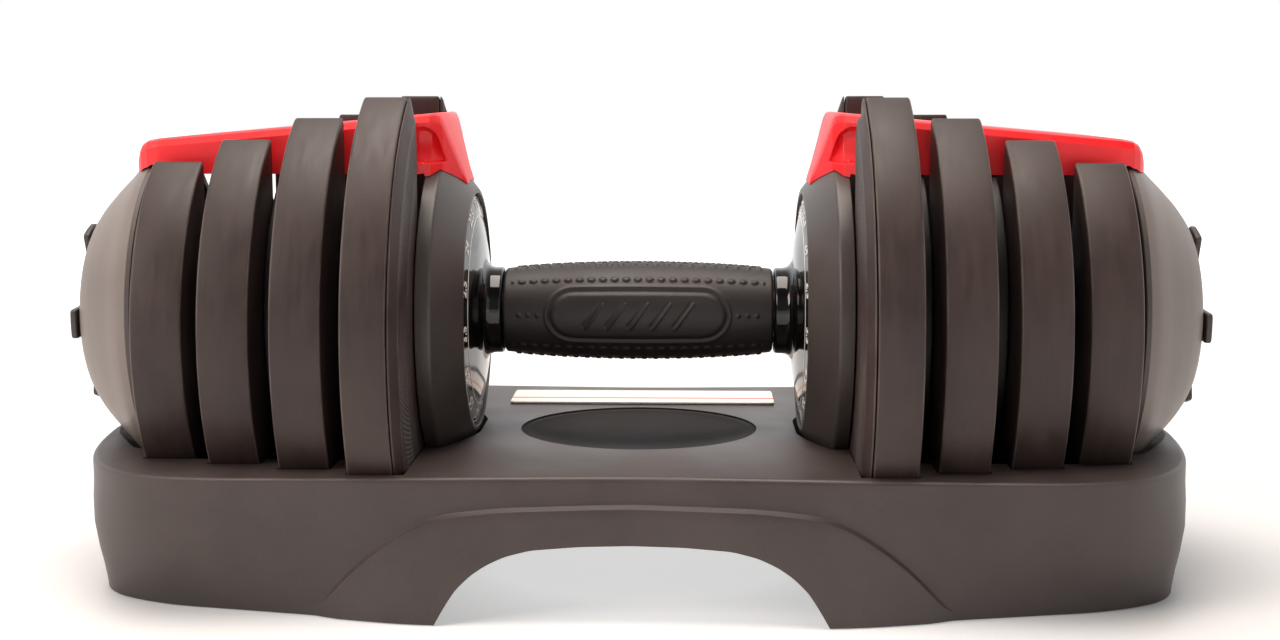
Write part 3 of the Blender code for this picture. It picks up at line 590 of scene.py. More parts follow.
CONE = rounded([(TUBE, 51.6), (15.7, 51.6), (16.5, 52.4), (16.5, 56.6), (18.8, 58.8), (25.7, 59.5),
                (42.2, 62.8), (44.4, 63.6), (44.4, 66.0), (TUBE, 66.0)],
               [0, 0.5, 0.5, 3.0, 1.6, 4.0, 1.2, 1.0, 0.3, 0])[:, ::-1]
HOUSE = rounded([(45.0, 62.0), (46.6, 62.0), (60.0, 72.3), (60.0, 77.6), (56.5, 77.6),
                 (56.5, 72.3), (14.4, 72.3), (14.4, 66.4), (45.0, 66.4)],
                [0.2, 0.6, 0.9, 0.4, 0.3, 0.3, 0.2, 0.2, 0.3])[:, ::-1]


RIM_END = DOME_IN + 2.1   # where the rim, painted dark as the shade of the gap, ends and the crown starts
DOME_R = 63.0


def dome_profile():
    """Crowned outer curve, resampled and smoothed with its ends held, closed by the hollow.

    f is the share of the dome's length and g the share of its radius.
    """
    f = np.array([.073, .19, .29, .41, .60, .772, .90, .972, 1.0])
    g = np.array([.986, .956, .911, .852, .767, .683, .605, .543, .476])
    curve = resample(np.stack([DOME_IN + (DOME_END - DOME_IN) * f, DOME_R * g], -1), 0.7,
                     False)
    k = np.hanning(11)[1:-1]
    k /= k.sum()
    m = len(k) // 2
    ends = 2 * curve[:1] - curve[m:0:-1], 2 * curve[-1:] - curve[-2:-m - 2:-1]
    long = np.vstack([ends[0], curve, ends[1]])
    outer = np.stack([np.convolve(long[:, c], k, "valid") for c in (0, 1)], -1)
    inner = np.array([(DOME_END, TUBE), (DOME_IN + .7, TUBE), (DOME_IN + .7, 17),
                      (DOME_END - 6.6, 17), (DOME_END - 6.6, 33), (DOME_IN + 16, 44),
                      (DOME_IN + 7, 53.5), (RIM_END, 59.4)])
    return np.vstack([outer, inner])


RIM = [(DOME_IN, 59.4), (DOME_IN, 62.2), (DOME_IN + .3, 62.55), (RIM_END - .3, 62.55),
       (RIM_END, 62.3), (RIM_END, 59.4)]

# %% Make the turned pieces
for tag, side in SIDES:
    dial = tag + "_selector"
    dress(lathe(tag + "_cone_shell", CONE, side), GLOSS, dial, tag + "_dial_cone")
    dress(lathe(tag + "_housing_shell", HOUSE, side), HOUSING_ABS, "handle",
          tag + "_inner_housing")
    dress(lathe(tag + "_dome_shell", dome_profile(), side), DOME_ABS, dial, tag + "_outer_dome")
    # Rim ring in the darker finish: painted gap shade next to the plate.
    dress(lathe(tag + "_dome_rim", RIM, side), RIM_SHADED_ABS, dial)
    for k, ((w, t, r_out), hub) in enumerate(zip(WEBS, HUB_ENDS), 1):
        web = [(w, TUBE), (w, r_out), (w + t, r_out), (w + t, 15), (hub, 15), (hub, TUBE)]
        prof = rounded(web, [0, 0.7, 0.7, 1.5, 0.4, 0])
        dress(lathe("%s_disc_%d_shell" % (tag, k), prof, side), NYLON, dial,
              "%s_selector_disc_%d" % (tag, k))
print("turned pieces made: dome from %.1f to %.1f mm" % (DOME_IN, DOME_END))

# %% [markdown]
# ## Star knob
# Five lugs stand on the end of each dome, so that a hand can turn the dial.  Five boxes and a
# disc joined by Booleans would leave hard inner corners.  One outline in polar form, softened and
# given eased edges, has its fillets from the start.

# %% Star knob
STAR_FIRST = 21   # degrees from the top to the first arm


def star_outline(side, arms=5, r_tip=34.5, r_hub=19.0, half=5.5):
    """Radius is the hub's, or the arm's tip where the angle is within an arm's half width."""
    t = np.radians(np.linspace(0, 360, 720, endpoint=False))
    first = np.radians(90 + STAR_FIRST)
    rel = (t - first + np.pi / arms) % (2 * np.pi / arms) - np.pi / arms
    reach = np.minimum(r_tip, half / np.maximum(np.abs(np.sin(rel)), 1e-4))
    r = np.where(np.cos(rel) > 0, np.maximum(r_hub, reach), r_hub)
    y, z = r * np.cos(t), r * np.sin(t)
    pts = np.stack([side * y, z], -1)
    return soften(resample(pts if side > 0 else pts[::-1], 0.5), 0.8, 0.5)


for tag, side in SIDES:
    s0, s1 = (abs(v) for v in span(tag + "_star_knob", 0)[::side])
    star = slab(tag + "_star_shell", lambda d, o=star_outline(side): inset(o, d),
                eased(min(s0, s1), max(s0, s1), 0.6), side)
    dress(star, HOUSING_ABS, tag + "_selector", tag + "_star_knob")
print("star outline has %d points" % len(star_outline(1)))

# %% [markdown]
# ## Printed dial
# The dial cone carries fifteen pad-printed weights between two thin rings, and figures stand
# upright where the red pointer meets them.  An image texture could carry them, but thin raised
# figures stay crisp at any distance: text is made a mesh and wrapped on the cone by a formula.

# %% Wrap figures on the cone
KILOS = (2.5, 3.5, 4.5, 5.5, 6.5, 8, 9, 10, 11.5, 13.5, 16, 18, 20.5, 22.5, 24)
SHOWN = 12         # place of the weight under the pointer
FIGURE_SIZE = 5.4  # mm


def cone_face(r):
    """Distance outward of the cone's face at radius r."""
    return np.interp(r, (25.7, 42.2, 44.4), (59.52, 62.82, 63.6))


def flat_text(word, size):
    """Outline figures as mesh arrays: points (x, y, z) in mm and their polygons."""
    curve = bpy.data.curves.new("figures", 'FONT')
    curve.body, curve.size = word, size
    curve.align_x, curve.align_y = 'CENTER', 'CENTER'
    curve.extrude, curve.offset, curve.resolution_u = 0.1, 0.06, 4
    ob = bpy.data.objects.new("figures", curve)
    me = bpy.data.meshes.new_from_object(ob)
    pts = np.empty(len(me.vertices) * 3)
    me.vertices.foreach_get("co", pts)
    polys = [list(p.vertices) for p in me.polygons]
    bpy.data.objects.remove(ob)
    bpy.data.meshes.remove(me)
    return pts.reshape(-1, 3), polys


def on_cone(x, y, lift, turn, side, r_mid=40.0):
    """Wrap: x runs round the dial, y runs out along the cone, lift stands off its face."""
    ang = turn + x / r_mid
    r = r_mid + y
    a = cone_face(r) - lift
    return np.stack([side * a, -r * np.sin(ang), r * np.cos(ang) + AXIS], -1)


# %% Print the dials
for tag, side in SIDES:
    all_pts, all_faces, base = [], [], 0
    for i, kilo in enumerate(KILOS):
        pts, polys = flat_text("%g" % kilo, FIGURE_SIZE)
        turn = math.radians(360 / len(KILOS) * (i - SHOWN))
        all_pts.append(on_cone(side * pts[:, 0], pts[:, 1], 0.10 + pts[:, 2], turn, side))
        all_faces += [[v + base for v in p] for p in polys]
        base += len(pts)
    me = bpy.data.meshes.new(tag + "_figures")
    me.from_pydata((np.vstack(all_pts) * MM).tolist(), [], all_faces)
    bm = bmesh.new()
    bm.from_mesh(me)
    bmesh.ops.remove_doubles(bm, verts=bm.verts, dist=1e-6)
    bmesh.ops.recalc_face_normals(bm, faces=bm.faces)
    bm.to_mesh(me)
    bm.free()
    figures = bpy.data.objects.new(tag + "_dial_figures", me)
    bpy.context.scene.collection.objects.link(figures)
    dress(figures, INK, tag + "_selector")
    for n, r in enumerate((36.4, 43.4)):
        ring = [(cone_face(r - .18) - .12, r - .18), (cone_face(r + .18) - .12, r + .18),
                (cone_face(r + .18) + .1, r + .18), (cone_face(r - .18) + .1, r - .18)]
        dress(lathe("%s_dial_ring_%d" % (tag, n), ring, side, 180), INK, tag + "_selector")
print("dials printed with %d weights" % len(KILOS))

# %% [markdown]
# ## Grip
# The sleeve is a soft TPE barrel over the shaft.  Its skin is one grid whose radius is the
# barrel's plus a relief: a stadium-shaped panel with a groove round it, five slanted ribs, and
# rows of small studs that keep the hand from turning.  Bump alone would vanish at the outline,
# so the relief moves the surface itself.

# %% Relief of the grip
PANEL_HALF, PANEL_R = 24.4, 10.0   # half length of the panel's straight part, and its end radius
RIB_PITCH, RIB_HALF = 8.5, 6.3     # slanted ribs


def grip_relief(x, t, r):
    """Height of the relief in mm at x along the handle and t round it, 0 at the front."""
    relief = np.zeros_like(x)
    for centre in (0.0, np.pi):
        d = (t - centre + np.pi) % (2 * np.pi) - np.pi
        face = np.abs(d) < 1.2
        v = r * np.sin(np.clip(d, -1.3, 1.3))
        edge = np.hypot(np.maximum(np.abs(x) - PANEL_HALF, 0), v) - PANEL_R
        part = -0.55 * np.exp(-((edge + 0.9) / 0.42) ** 2)
        part = part + 0.38 * np.exp(-((edge - 0.35) / 0.6) ** 2)
        part = part + 0.3 * smooth_step((-edge - 1.6) / 1.2)
        for i in range(-2, 3):
            px, py = x - RIB_PITCH * i - 0.4, v
            along = (px * 3.85 + py * 5.1) / 6.39
            across = (px * 5.1 - py * 3.85) / 6.39
            keep = smooth_step((RIB_HALF - np.abs(along)) / 0.8)
            part = part + keep * (0.55 * np.exp(-((across - 0.25) / 0.42) ** 2)
                                  - 0.45 * np.exp(-((across + 0.75) / 0.5) ** 2))
        for row, pitch, limit in ((0.8, 4.4, 48), (-0.8, 4.4, 48)):
            sx = (x + pitch / 2) % pitch - pitch / 2
            sy = r * (d - row)
            stud = smooth_step((1.25 - np.hypot(sx / 1.35, sy)) / 0.55)
            part = part + 0.5 * stud * (np.abs(x) < limit)
        sx = (np.abs(x) - 37.9 + 1.75) % 3.5 - 1.75
        mid = smooth_step((1.0 - np.hypot(sx, r * d)) / 0.5)
        part = part + 0.45 * mid * (np.abs(x) > 36.5) * (np.abs(x) < 47.2)
        relief = relief + part * face
    for row in (np.pi / 2, -np.pi / 2):
        d = (t - row + np.pi) % (2 * np.pi) - np.pi
        for shift in (-0.22, 0.0, 0.22):
            sx = (x + (2.2 if shift else 0) + 2.2) % 4.4 - 2.2
            stud = smooth_step((1.2 - np.hypot(sx / 1.2, r * (d - shift))) / 0.55)
            relief = relief + 0.55 * stud * (np.abs(x) < 47)
    return relief


# %% Make the grip
BARREL_R, SWELL, BORE_R = 16.0, 2.45, 8.3
nx, nt = 290, 300
x = np.linspace(-GRIP_END, GRIP_END, nx)
t = np.linspace(0, 2 * np.pi, nt, endpoint=False)
X, T = np.meshgrid(x, t, indexing="ij")
barrel = BARREL_R + SWELL * (1 - (X / GRIP_END) ** 2) ** 0.9
end_round = 0.9 * smooth_step((np.abs(X) - GRIP_END + 0.9) / 0.9) ** 2
R = barrel - end_round
R = R + grip_relief(X, T, 18.0) * smooth_step((GRIP_END - 1.2 - np.abs(X)) / 1.0)
skin = np.stack([X, -R * np.cos(T), R * np.sin(T) + AXIS], -1)
bore = [np.stack([np.full(nt, s * GRIP_END), -BORE_R * np.cos(t), BORE_R * np.sin(t) + AXIS],
                 -1)[None] for s in (-1, 1)]
grip = np.concatenate([bore[0], skin, bore[1]])
dress(make("grip_skin", grip, grid_faces(nx + 2, nt, True, True), sharp=60), RUBBER, "handle",
      "grip_sleeve")
print("grip has %d quads" % ((nx + 2) * nt))

# %% [markdown]
# ## Red bridges
# A bridge is a long moulding over the top of each head.  Its inner end hooks down over the housing
# to a pointer, and its outer end follows the dome.  It could be modelled by hand as a subdivided
# box.  Lofted sections hold its clearance over the discs exactly: each section is an arch of the
# clearance radius underneath, straight or scooped sides, and a bevelled top.

# %% Sections of a bridge


def hook_front(z):
    """Distance outward of the hook's sloping inner face at height z."""
    return np.interp(z, (49.9, 52.4, 73.3, 75.1, 75.7), (64.3, 65.0, 71.4, 72.4, 73.8))


def scoop_depth(a, z, top):
    """Depth of the hollow in each side of the hook.

    The distance into a corner that is rounded by 5 mm, 3.6 mm from the sloping face and 4.2 mm
    from the top, gives a steep wall; the floor rises to a small ledge at z = 58.
    """
    front, roof = a - hook_front(z) - 3.4, top - 4.2 - z
    edge = 5 - np.hypot(np.maximum(5 - front, 0), np.maximum(5 - roof, 0))
    floor = 1 - 0.45 * smooth_step((66 - z) / 8)
    return 4.6 * smooth_step(edge / 1.7) * floor * smooth_step((z - 57.6) / 0.9) \
        * smooth_step((96 - a) / 8)


def bridge_sections():
    """Rings (a, y, z): underside z = sqrt(rc^2 - y^2), scooped sides, bevels and flat top."""
    a = np.unique(np.r_[np.linspace(64.3, 78, 70), np.linspace(78, 98, 40),
                        np.linspace(98, 176, 60), np.linspace(176, 186.6, 40)])
    top = np.interp(a, (64.3, 65.0, 71.4, 72.4, 73.8, 80, 175.6, 180, 182.6, 184.6, 186.0, 186.6),
                    (49.9, 52.4, 73.3, 75.1, 75.7, 75.2, 66.6, 65.8, 64.5, 62.3, 59.4, 57.2))
    hw = np.interp(a, (64.3, 66, 71.6, 75.5, 80, 176, 180, 183, 185.2, 186.6),
                   (10, 12.5, 23.5, 28.6, 30, 30, 29, 26.5, 22.5, 17.5))
    rc = np.interp(a, (62, 72.3, 77.6, 77.7, 174.6, 174.7, 178.2, 181.5, 186.0, 190),
                   (46.95, 60.35, 60.35, 61.5, 61.5, 64.2, 64.2, 62.2, 57.8, 53.2))
    rings = []
    u = np.linspace(-1, 1, 33)
    w = np.linspace(0, 1, 44)
    for ai, zt, h, rad in zip(a, top, hw, rc):
        foot = math.sqrt(rad * rad - h * h)
        drop = min(3.0, 0.55 * (zt - foot))
        side_z = foot + (zt - drop - foot) * w
        in_y = h - scoop_depth(ai, side_z, zt)
        y = np.r_[u * h, in_y[1:], h - drop * 0.45, h - drop * 1.1, 0,
                  -(h - drop * 1.1), -(h - drop * 0.45), -in_y[:0:-1]]
        z = np.r_[np.sqrt(rad ** 2 - (u * h) ** 2), side_z[1:], zt - drop * 0.25, zt, zt,
                  zt, zt - drop * 0.25, side_z[:0:-1]]
        rings.append(np.stack([np.full_like(y, ai), y, z], -1))
    return np.stack(rings)


# %% Make the bridges
for tag, side in SIDES:
    g = bridge_sections()
    n, m = g.shape[:2]
    pts = place(g[..., 0], g[..., 1], g[..., 2], side)
    ob = make(tag + "_bridge_shell", pts, grid_faces(n, m, False, True), end_caps(n, m), sharp=28)
    dress(ob, RED_ABS, "handle", tag + "_top_bridge")
print("bridges made from %d sections of %d points" % (n, m))

# %% [markdown]
# ## Cradle
# The tray is a thin-walled moulding.  Its skin is a loft between the outline on the ground and the
# outline at the rim, with a proud panel under a style line.  A subdivision cage could give the
# same skin, but the style line would need its own edge loops all round.

# %% Cradle outlines
# quarter outline: rim x, rim y, ground x, ground y
OUTLINE = np.array([
    (0, 87.6, 0, 91.0), (40, 89.3, 40, 91.0), (78, 91.5, 75, 90.2), (112, 92.8, 110, 82.8),
    (147, 93.3, 141, 76.5), (166, 90.0, 161, 72.2), (178, 83.0, 176, 66.2),
    (188, 71.5, 187, 59.0), (195, 57.0, 193.6, 49.5), (199.6, 40.0, 197.0, 37.0),
    (202.6, 20.0, 198.6, 19.0), (204, 0, 199.2, 0)], float)
STYLE_X = (0, 44, 66, 78, 92, 102.7, 110, 112.6, 240)
STYLE_Z = (40.4, 39.4, 37.3, 32.2, 22.6, 12.0, 3.4, 1.2, 1.2)
ARCH = np.array([(68.5, -2), (64.0, 6.0), (60.0, 12.3), (54.8, 17.4), (49.5, 21.0), (43.0, 24.0),
                 (34.3, 26.2), (18, 27.4), (0, 27.8)])
ARCH_RUN = (-119.3, 121.1)  # well past the front and the back
ARCH_ROUND = 1.6
WALL, DECK_THICK = 3.5, 7.5
PANEL_PROUD, PANEL_END = 2.0, 112.6  # how far the panel stands out, and the x where it ends
END_BULGE = 2.2             # how far the ends swell between ground and rim
RIM_X = 204                 # half length of the rim


def quarter(sub=8):
    """Catmull-Rom through the outline rows, mirrored past both ends."""
    flip_x, flip_y = np.array([-1, 1, -1, 1]), np.array([1, -1, 1, -1])
    p = np.vstack([OUTLINE[1] * flip_x, OUTLINE, OUTLINE[-2] * flip_y])
    s = (np.arange(sub) / sub)[None, :, None]
    p0, p1, p2, p3 = (p[i:len(p) - 3 + i][:, None] for i in range(4))
    c = 0.5 * (2 * p1 + (p2 - p0) * s + (2 * p0 - 5 * p1 + 4 * p2 - p3) * s ** 2
               + (3 * p1 - p0 - 3 * p2 + p3) * s ** 3)
    return np.vstack([c.reshape(-1, 4), OUTLINE[-1:]])


def skirt(levels, proud, inside=0.0, sub=8):
    """Grid of the skirt: levels and proud are (columns, rows) over a quarter, then mirrored."""
    q = quarter(sub)
    rx, ry, gx, gy = (q[:, i:i + 1] for i in range(4))
    tt = np.clip(levels / DECK, 0, 1)
    x, y = gx + (rx - gx) * tt, gy + (ry - gy) * tt
    nx = np.maximum(0, (rx - 120) / (RIM_X - 120)) ** 1.5
    ny = np.where(rx < 150, 1.0, np.maximum(0, (RIM_X - rx) / (RIM_X - 150)))
    n = np.hypot(nx, ny)
    off = proud + END_BULGE * np.sin(np.pi * tt) ** 2 * np.clip((rx - 90) / 60, 0, 1) - inside
    x, y = x + nx / n * off, y + ny / n * off
    quad = np.stack([x, y, levels], -1)
    fr, fb = np.array([1, -1, 1]), np.array([1, 1, 1])
    bl, bf = np.array([-1, 1, 1]), np.array([-1, -1, 1])
    return np.concatenate([quad[:-1] * fr, (quad[:0:-1]) * fb, quad[:-1] * bl, quad[:0:-1] * bf])


def outer_rows(sub=8):
    """Row heights and proudness: below the style line, over its soft ledge, then to the rim."""
    q = quarter(sub)
    x = q[:, 0]
    zs = np.interp(x, STYLE_X, STYLE_Z)
    k = np.ones(3) / 3
    zs = np.convolve(np.r_[zs[0], zs, zs[-1]], k, "valid")
    on = PANEL_PROUD * np.clip((PANEL_END - x) / 8, 0, 1)
    small = zs < 4
    cols, prd = [], []
    for f in (0.0, 0.35, 0.7, 0.9):
        cols.append(zs * f)
        prd.append(on)
    for up, keep in ((-0.4, 0.99), (-0.1, 0.93), (0.3, 0.6), (0.75, 0.2), (1.1, 0.03), (1.6, 0.0)):
        cols.append(zs + np.where(small, up * 0.3 + 0.2, up))
        prd.append(on * keep)
    z0 = cols[-1]
    for f in (0.15, 0.3, 0.5, 0.7, 0.85, 1.0):
        cols.append(z0 + (DECK - 1.8 - z0) * f)
        prd.append(0 * on)
    for down, d in ((1.3, -0.08), (0.7, -0.36), (0.3, -0.85), (0.07, -1.45), (0.0, -2.1)):
        cols.append(0 * z0 + DECK - down)
        prd.append(0 * on + d)
    return np.stack(cols, 1), np.stack(prd, 1)


# %% Solids for cutting


def closed_loft(name, grid):
    """Loft grid with its first and last rows capped."""
    n, m = grid.shape[:2]
    i = np.arange(n) * m
    return make(name, grid, grid_faces(n, m, True, False), [i, i[::-1] + m - 1])


def prism(name, outline, a0, a1, put):
    """Outline run straight from a0 to a1."""
    n = len(outline)
    pts = np.concatenate([put(np.full(n, a), outline[:, 0], outline[:, 1]) for a in (a0, a1)])
    return make(name, pts, grid_faces(2, n, False, True), end_caps(2, n))


def carve(name, base, tools):
    """Exact difference of base and tools, kept as a plain mesh in the world's place."""
    for tool in tools:
        m = base.modifiers.new("cut", 'BOOLEAN')
        m.operation, m.solver, m.object = 'DIFFERENCE', 'EXACT', tool
    bpy.context.view_layer.update()
    solid = base.evaluated_get(bpy.context.evaluated_depsgraph_get())
    me = bpy.data.meshes.new_from_object(solid)
    ob = bpy.data.objects.new(name, me)
    bpy.context.scene.collection.objects.link(ob)
    for gone in [base] + list(tools):
        bpy.data.objects.remove(gone)
    return ob


# %% [markdown]
# ## Wells, arch and dish
# The deck is cut away where the heads sink in, with one slot for each plate, an arch that lets
# fingers under, and a shallow dish with a coarse floor that is painted darker as the shade inside
# the recess.  Each cut is grown from the piece that sits in it plus a clearance.  The exact
# Boolean solver keeps every edge true, and its result is kept as plain mesh.  The arch and the
# dish are cut first, because the solver copes best then.

# %% Shapes of the cuts
CLEAR = 1.6                           # between a well and what turns in it
SLOT_SIDE, SLOT_UNDER = 0.8, 0.3      # round a plate, and under its foot
DISH_A, DISH_B, DISH_Y = 43.0, 38.5, -2.0
DISH_STEP, DISH_DEEP = 0.7, 5.2       # a small step, then the bowl
STEP_OUT = 2.6                        # how far the step runs outside the bowl


def drum_profile(extra):
    """What turns with the handle, grown by extra."""
    dome = [(r + extra * 1.1, a + (extra * 0.5 if a > DOME_IN else -0.5)) for r, a in
            [(63, DOME_IN), (63, DOME_IN + 2.5), (62.1, DOME_IN + 5.3), (52.5, DOME_IN + 13.7),
             (42.9, DOME_IN + 24.5)]]
    pts = [(46.6 + extra * 0.5, 62 - extra), (60 + extra, 72.3 - extra * 0.6),
           (60 + extra, DOME_IN - 0.5)] + dome
    r, a = np.array(pts).T
    return np.stack([a, r], -1)


def flat_arc(cz, rad, low):
    """Lower half of a circle about (0, cz), with a flat floor where it would go below low."""
    if cz - rad >= low:
        return circle_arc(0, cz, rad, 0, -180, 120)
    d = math.degrees(math.asin((low - cz) / rad))
    return np.vstack([circle_arc(0, cz, rad, 0, d, 60),
                      circle_arc(0, cz, rad, -180 - d, -180, 60)])


def slot_cut(name, k, grow, floor, side):
    """A plate's slot in the cradle; the thin plate shares the slot of the one behind it."""
    a0, a1, radius = plates[k]
    a0 = plates[0][0] if k == 1 else a0
    pts = flat_arc(-DROP + 0.5, radius + SLOT_SIDE + grow, FOOT - SLOT_UNDER - floor)
    return prism(name, pts, a0 - 0.5 - grow, a1 + 0.5 + grow,
                 lambda a, y, z: place(a, y, z, side))


def bowl_points(turn):
    """Ellipse rows: depth = deep x (1 - rho^2)^0.75, with a wall that rises above the deck."""
    rho = np.r_[1.0, 1.0, np.linspace(0.985, 0.03, 22)][:, None]
    sink = DISH_DEEP * (1 - rho ** 2) ** 0.75
    height = DECK - DISH_STEP - sink + np.r_[6.0, np.zeros(len(rho) - 1)][:, None]
    return np.stack([DISH_A * rho * np.cos(turn), DISH_B * rho * np.sin(turn) + DISH_Y,
                     height + 0 * turn], -1)


# %% Cut the cradle
levels, proud = outer_rows()
shell = closed_loft("skin_raw", skirt(levels, proud))
q = quarter(4)
flat = np.repeat(np.array([[-1.0, 14.0, 30.0, DECK - DECK_THICK]]), len(q), 0)
inner = closed_loft("inside_raw", skirt(flat, 0 * flat, WALL, 4))
skins, tools = [], []
for tag, side in SIDES:
    skins.append(drum("s", drum_profile(CLEAR + WALL), side, 72))
    skins += [slot_cut("s", k, WALL, 3.0, side) for k in range(1, 5)]
    tools.append(drum("t", drum_profile(CLEAR), side, 120))
    tools += [slot_cut("t", k, 0, 0, side) for k in range(1, 5)]
    relief = flat_arc(-DROP, plates[4][2] + SLOT_SIDE, RIB_TOP - AXIS)
    tools.append(prism("t", relief, plates[0][0] - 0.45, plates[4][1] + 0.45,
                       lambda a, y, z, s=side: place(a, y, z, s)))
hollow = carve("inside", inner, skins)
arch = np.vstack([ARCH, ARCH[-2::-1] * (-1, 1)])
arch = soften(resample(arch, 1.0), ARCH_ROUND, 1.0)
first = [prism("t", arch, *ARCH_RUN, lambda a, x, z: np.stack([x, a, z], -1))]
turn = np.radians(np.arange(0, 360, 2.5))[None]
bowl = bowl_points(turn)
rows = len(bowl)
first.append(make("t", bowl, grid_faces(rows, turn.size, False, True), end_caps(rows, turn.size)))
oval = np.stack([(DISH_A + STEP_OUT) * np.cos(turn[0]),
                 (DISH_B + STEP_OUT) * np.sin(turn[0]) + DISH_Y], -1)
first.append(prism("t", oval, DECK - DISH_STEP, DECK + 5,
                   lambda a, x, y: np.stack([x, y, a], -1)))
cradle = carve("cradle_moulding", shell, [hollow] + first + tools)
cradle.data.shade_smooth()
cradle.data.set_sharp_from_angle(angle=math.radians(28))
dress(cradle, CRADLE_ABS, "cradle", "cradle_shell")
print("cradle has %d faces" % len(cradle.data.polygons))

# %% Coarse floor of the dish, painted darker as shade
# The dish's faces get the darker moulding: painted shade in the recess, with a coarser grain.
cradle.data.materials.append(DISH_SHADED_ABS)
mid = np.empty(3 * len(cradle.data.polygons), np.float32)
cradle.data.polygons.foreach_get("center", mid)
mid = mid.reshape(-1, 3) / MM
in_oval = (mid[:, 0] / (DISH_A + 0.3)) ** 2 + ((mid[:, 1] - DISH_Y) / (DISH_B + 0.3)) ** 2 < 1
in_dish = in_oval & (mid[:, 2] < DECK - 0.65) & (mid[:, 2] > DECK - 6.5)
cradle.data.polygons.foreach_set("material_index", in_dish.astype(np.int32))
print("dish has %d faces" % in_dish.sum())

# %% [markdown]
# ## Label, feet and springs
# A blank printed film with one coloured line lies on the rear of the deck; a node ramp on y draws
# the line, so it needs no image.  Soft feet sit under the wells, and a small coil presses each
# lock pin down.  The coil is a tube swept round a helix, which a curve with a bevel would also
# give, but the arrays close its ends in the same step.

# %% Label
FILM, tree, b, where = finish_named("printed_film", "#EFE7DC", 0.4)
sep = wire(tree, "ShaderNodeSeparateXYZ", {0: where})
y_off = wire(tree, "ShaderNodeMath", {0: sep.outputs[1], 1: 0.0545}, operation='SUBTRACT')
y_abs = wire(tree, "ShaderNodeMath", {0: y_off.outputs[0]}, operation='ABSOLUTE')
band = wire(tree, "ShaderNodeMapRange", {0: y_abs.outputs[0], 1: 0.0010, 2: 0.0013,
                                         3: 1.0, 4: 0.0})
ink = wire(tree, "ShaderNodeMix", {0: band.outputs[0], 6: linear("#F2EBE2"),
                                   7: linear("#E4572E")}, data_type='RGBA')
tree.links.new(ink.outputs[2], b.inputs["Base Color"])

(lx0, lx1), (ly0, ly1), (lz0, lz1) = (span("cradle_label", i) for i in range(3))
rect = resample([(lx0, ly0), (lx1, ly0), (lx1, ly1), (lx0, ly1)], 0.5)
rect = soften(rect, 1.0, 0.5)
n = len(rect)
rows = [(0, lz0), (0, lz1 - 0.2), (0.2, lz1)]
pts = np.concatenate([np.column_stack([inset(rect, d), np.full(n, z)]) for d, z in rows])
film = make("label_film", pts, grid_faces(3, n, False, True), end_caps(3, n))
dress(film, FILM, "cradle", "cradle_label")

print("label is %.1f x %.1f mm" % (lx1 - lx0, ly1 - ly0))

# %% Feet
for i in range(1, 5):
    node = "cradle_foot_%d" % i
    (fx0, fx1), (fy0, fy1), (fz0, fz1) = (span(node, c) for c in range(3))
    cx, cy, r = (fx0 + fx1) / 2, (fy0 + fy1) / 2, (fx1 - fx0) / 2
    ang = np.linspace(0, 2 * np.pi, 64, endpoint=False)
    prof = [(r - 0.5, fz0), (r, fz0 + 0.4), (r, fz1 - 0.2), (r - 0.3, fz1)]
    pts = np.concatenate([np.stack([cx + rr * np.cos(ang), cy + rr * np.sin(ang),
                                    np.full(64, zz)], -1) for rr, zz in prof])
    foot = make("foot_pad_%d" % i, pts, grid_faces(4, 64, False, True), end_caps(4, 64))
    dress(foot, FOOT_TPE, "cradle", node)

print("feet are %.1f mm across" % (2 * r))

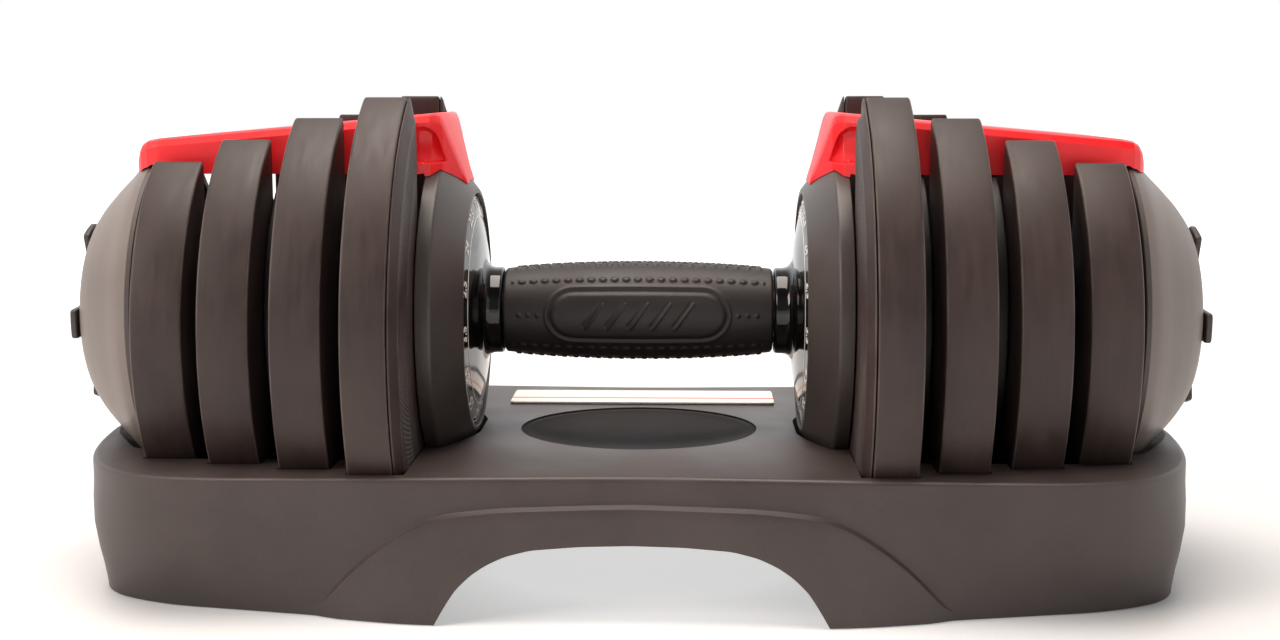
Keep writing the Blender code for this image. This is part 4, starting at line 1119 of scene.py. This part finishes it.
# %% Springs
for tag, side in SIDES:
    node = tag + "_lock_spring"
    (sx0, sx1), (sy0, sy1), (sz0, sz1) = (span(node, c) for c in range(3))
    turns, wire_r = 6, 0.22
    R0 = (sx1 - sx0) / 2 - wire_r
    s = np.linspace(0, 1, turns * 24)[:, None]
    c = np.linspace(0, 2 * np.pi, 10, endpoint=False)[None]
    phi = 2 * np.pi * turns * s
    rad = R0 + wire_r * np.cos(c)
    coil = np.stack([(sx0 + sx1) / 2 + rad * np.cos(phi), (sy0 + sy1) / 2 + rad * np.sin(phi),
                     sz0 + wire_r + (sz1 - sz0 - 2 * wire_r) * s + wire_r * np.sin(c)], -1)
    m = coil.shape[0]
    ob = make(tag + "_spring_coil", coil, grid_faces(m, 10, False, True), end_caps(m, 10))
    dress(ob, ZINC, "handle", node)
print("springs have %d turns" % turns)

# %% [markdown]
# ## Hardware from the frame
# The shaft, tubes, washers, nuts, pins, plugs and bearings already have their final shape, so
# they stay as they are and only change finish: zinc plate on steel, and black nylon.

# %% Carried-over frame nodes
for node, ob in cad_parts.items():
    if any(w in node for w in ("shaft", "tube", "washer", "nut", "lock_pin")):
        ob.data.materials.clear()
        ob.data.materials.append(ZINC)
    elif any(w in node for w in ("plug", "bearing")):
        ob.data.materials.clear()
        ob.data.materials.append(NYLON)
print("frame has %d nodes" % len(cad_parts))

# %% [markdown]
# ## Floor
# A sweep of white paper.  Real sweeps are lit from behind until they burn out to white.  Here a
# faint glow does that far from the object and under the arch, and leaves the contact shadow.

# %% Floor
bpy.ops.mesh.primitive_plane_add(size=12, location=(0, 0, -0.0004))
floor = bpy.context.active_object
floor.name = "floor"
PAPER, tree, b, where = finish_named("white_paper_sweep", "#E4E4E4", 0.9)
b.inputs["Emission Color"].default_value = linear("#FFFFFF")
away = wire(tree, "ShaderNodeVectorMath", {0: where}, operation='LENGTH').outputs["Value"]
glow = wire(tree, "ShaderNodeMapRange", {0: away, 1: 0.3, 2: 1.2, 3: 0.03, 4: 0.8})
under = wire(tree, "ShaderNodeMapRange", {0: away, 1: 0.06, 2: 0.2, 3: 0.6, 4: 0.0})
both = wire(tree, "ShaderNodeMath", {0: glow.outputs[0], 1: under.outputs[0]}, operation='ADD')
tree.links.new(both.outputs[0], b.inputs["Emission Strength"])
floor.data.materials.append(PAPER)
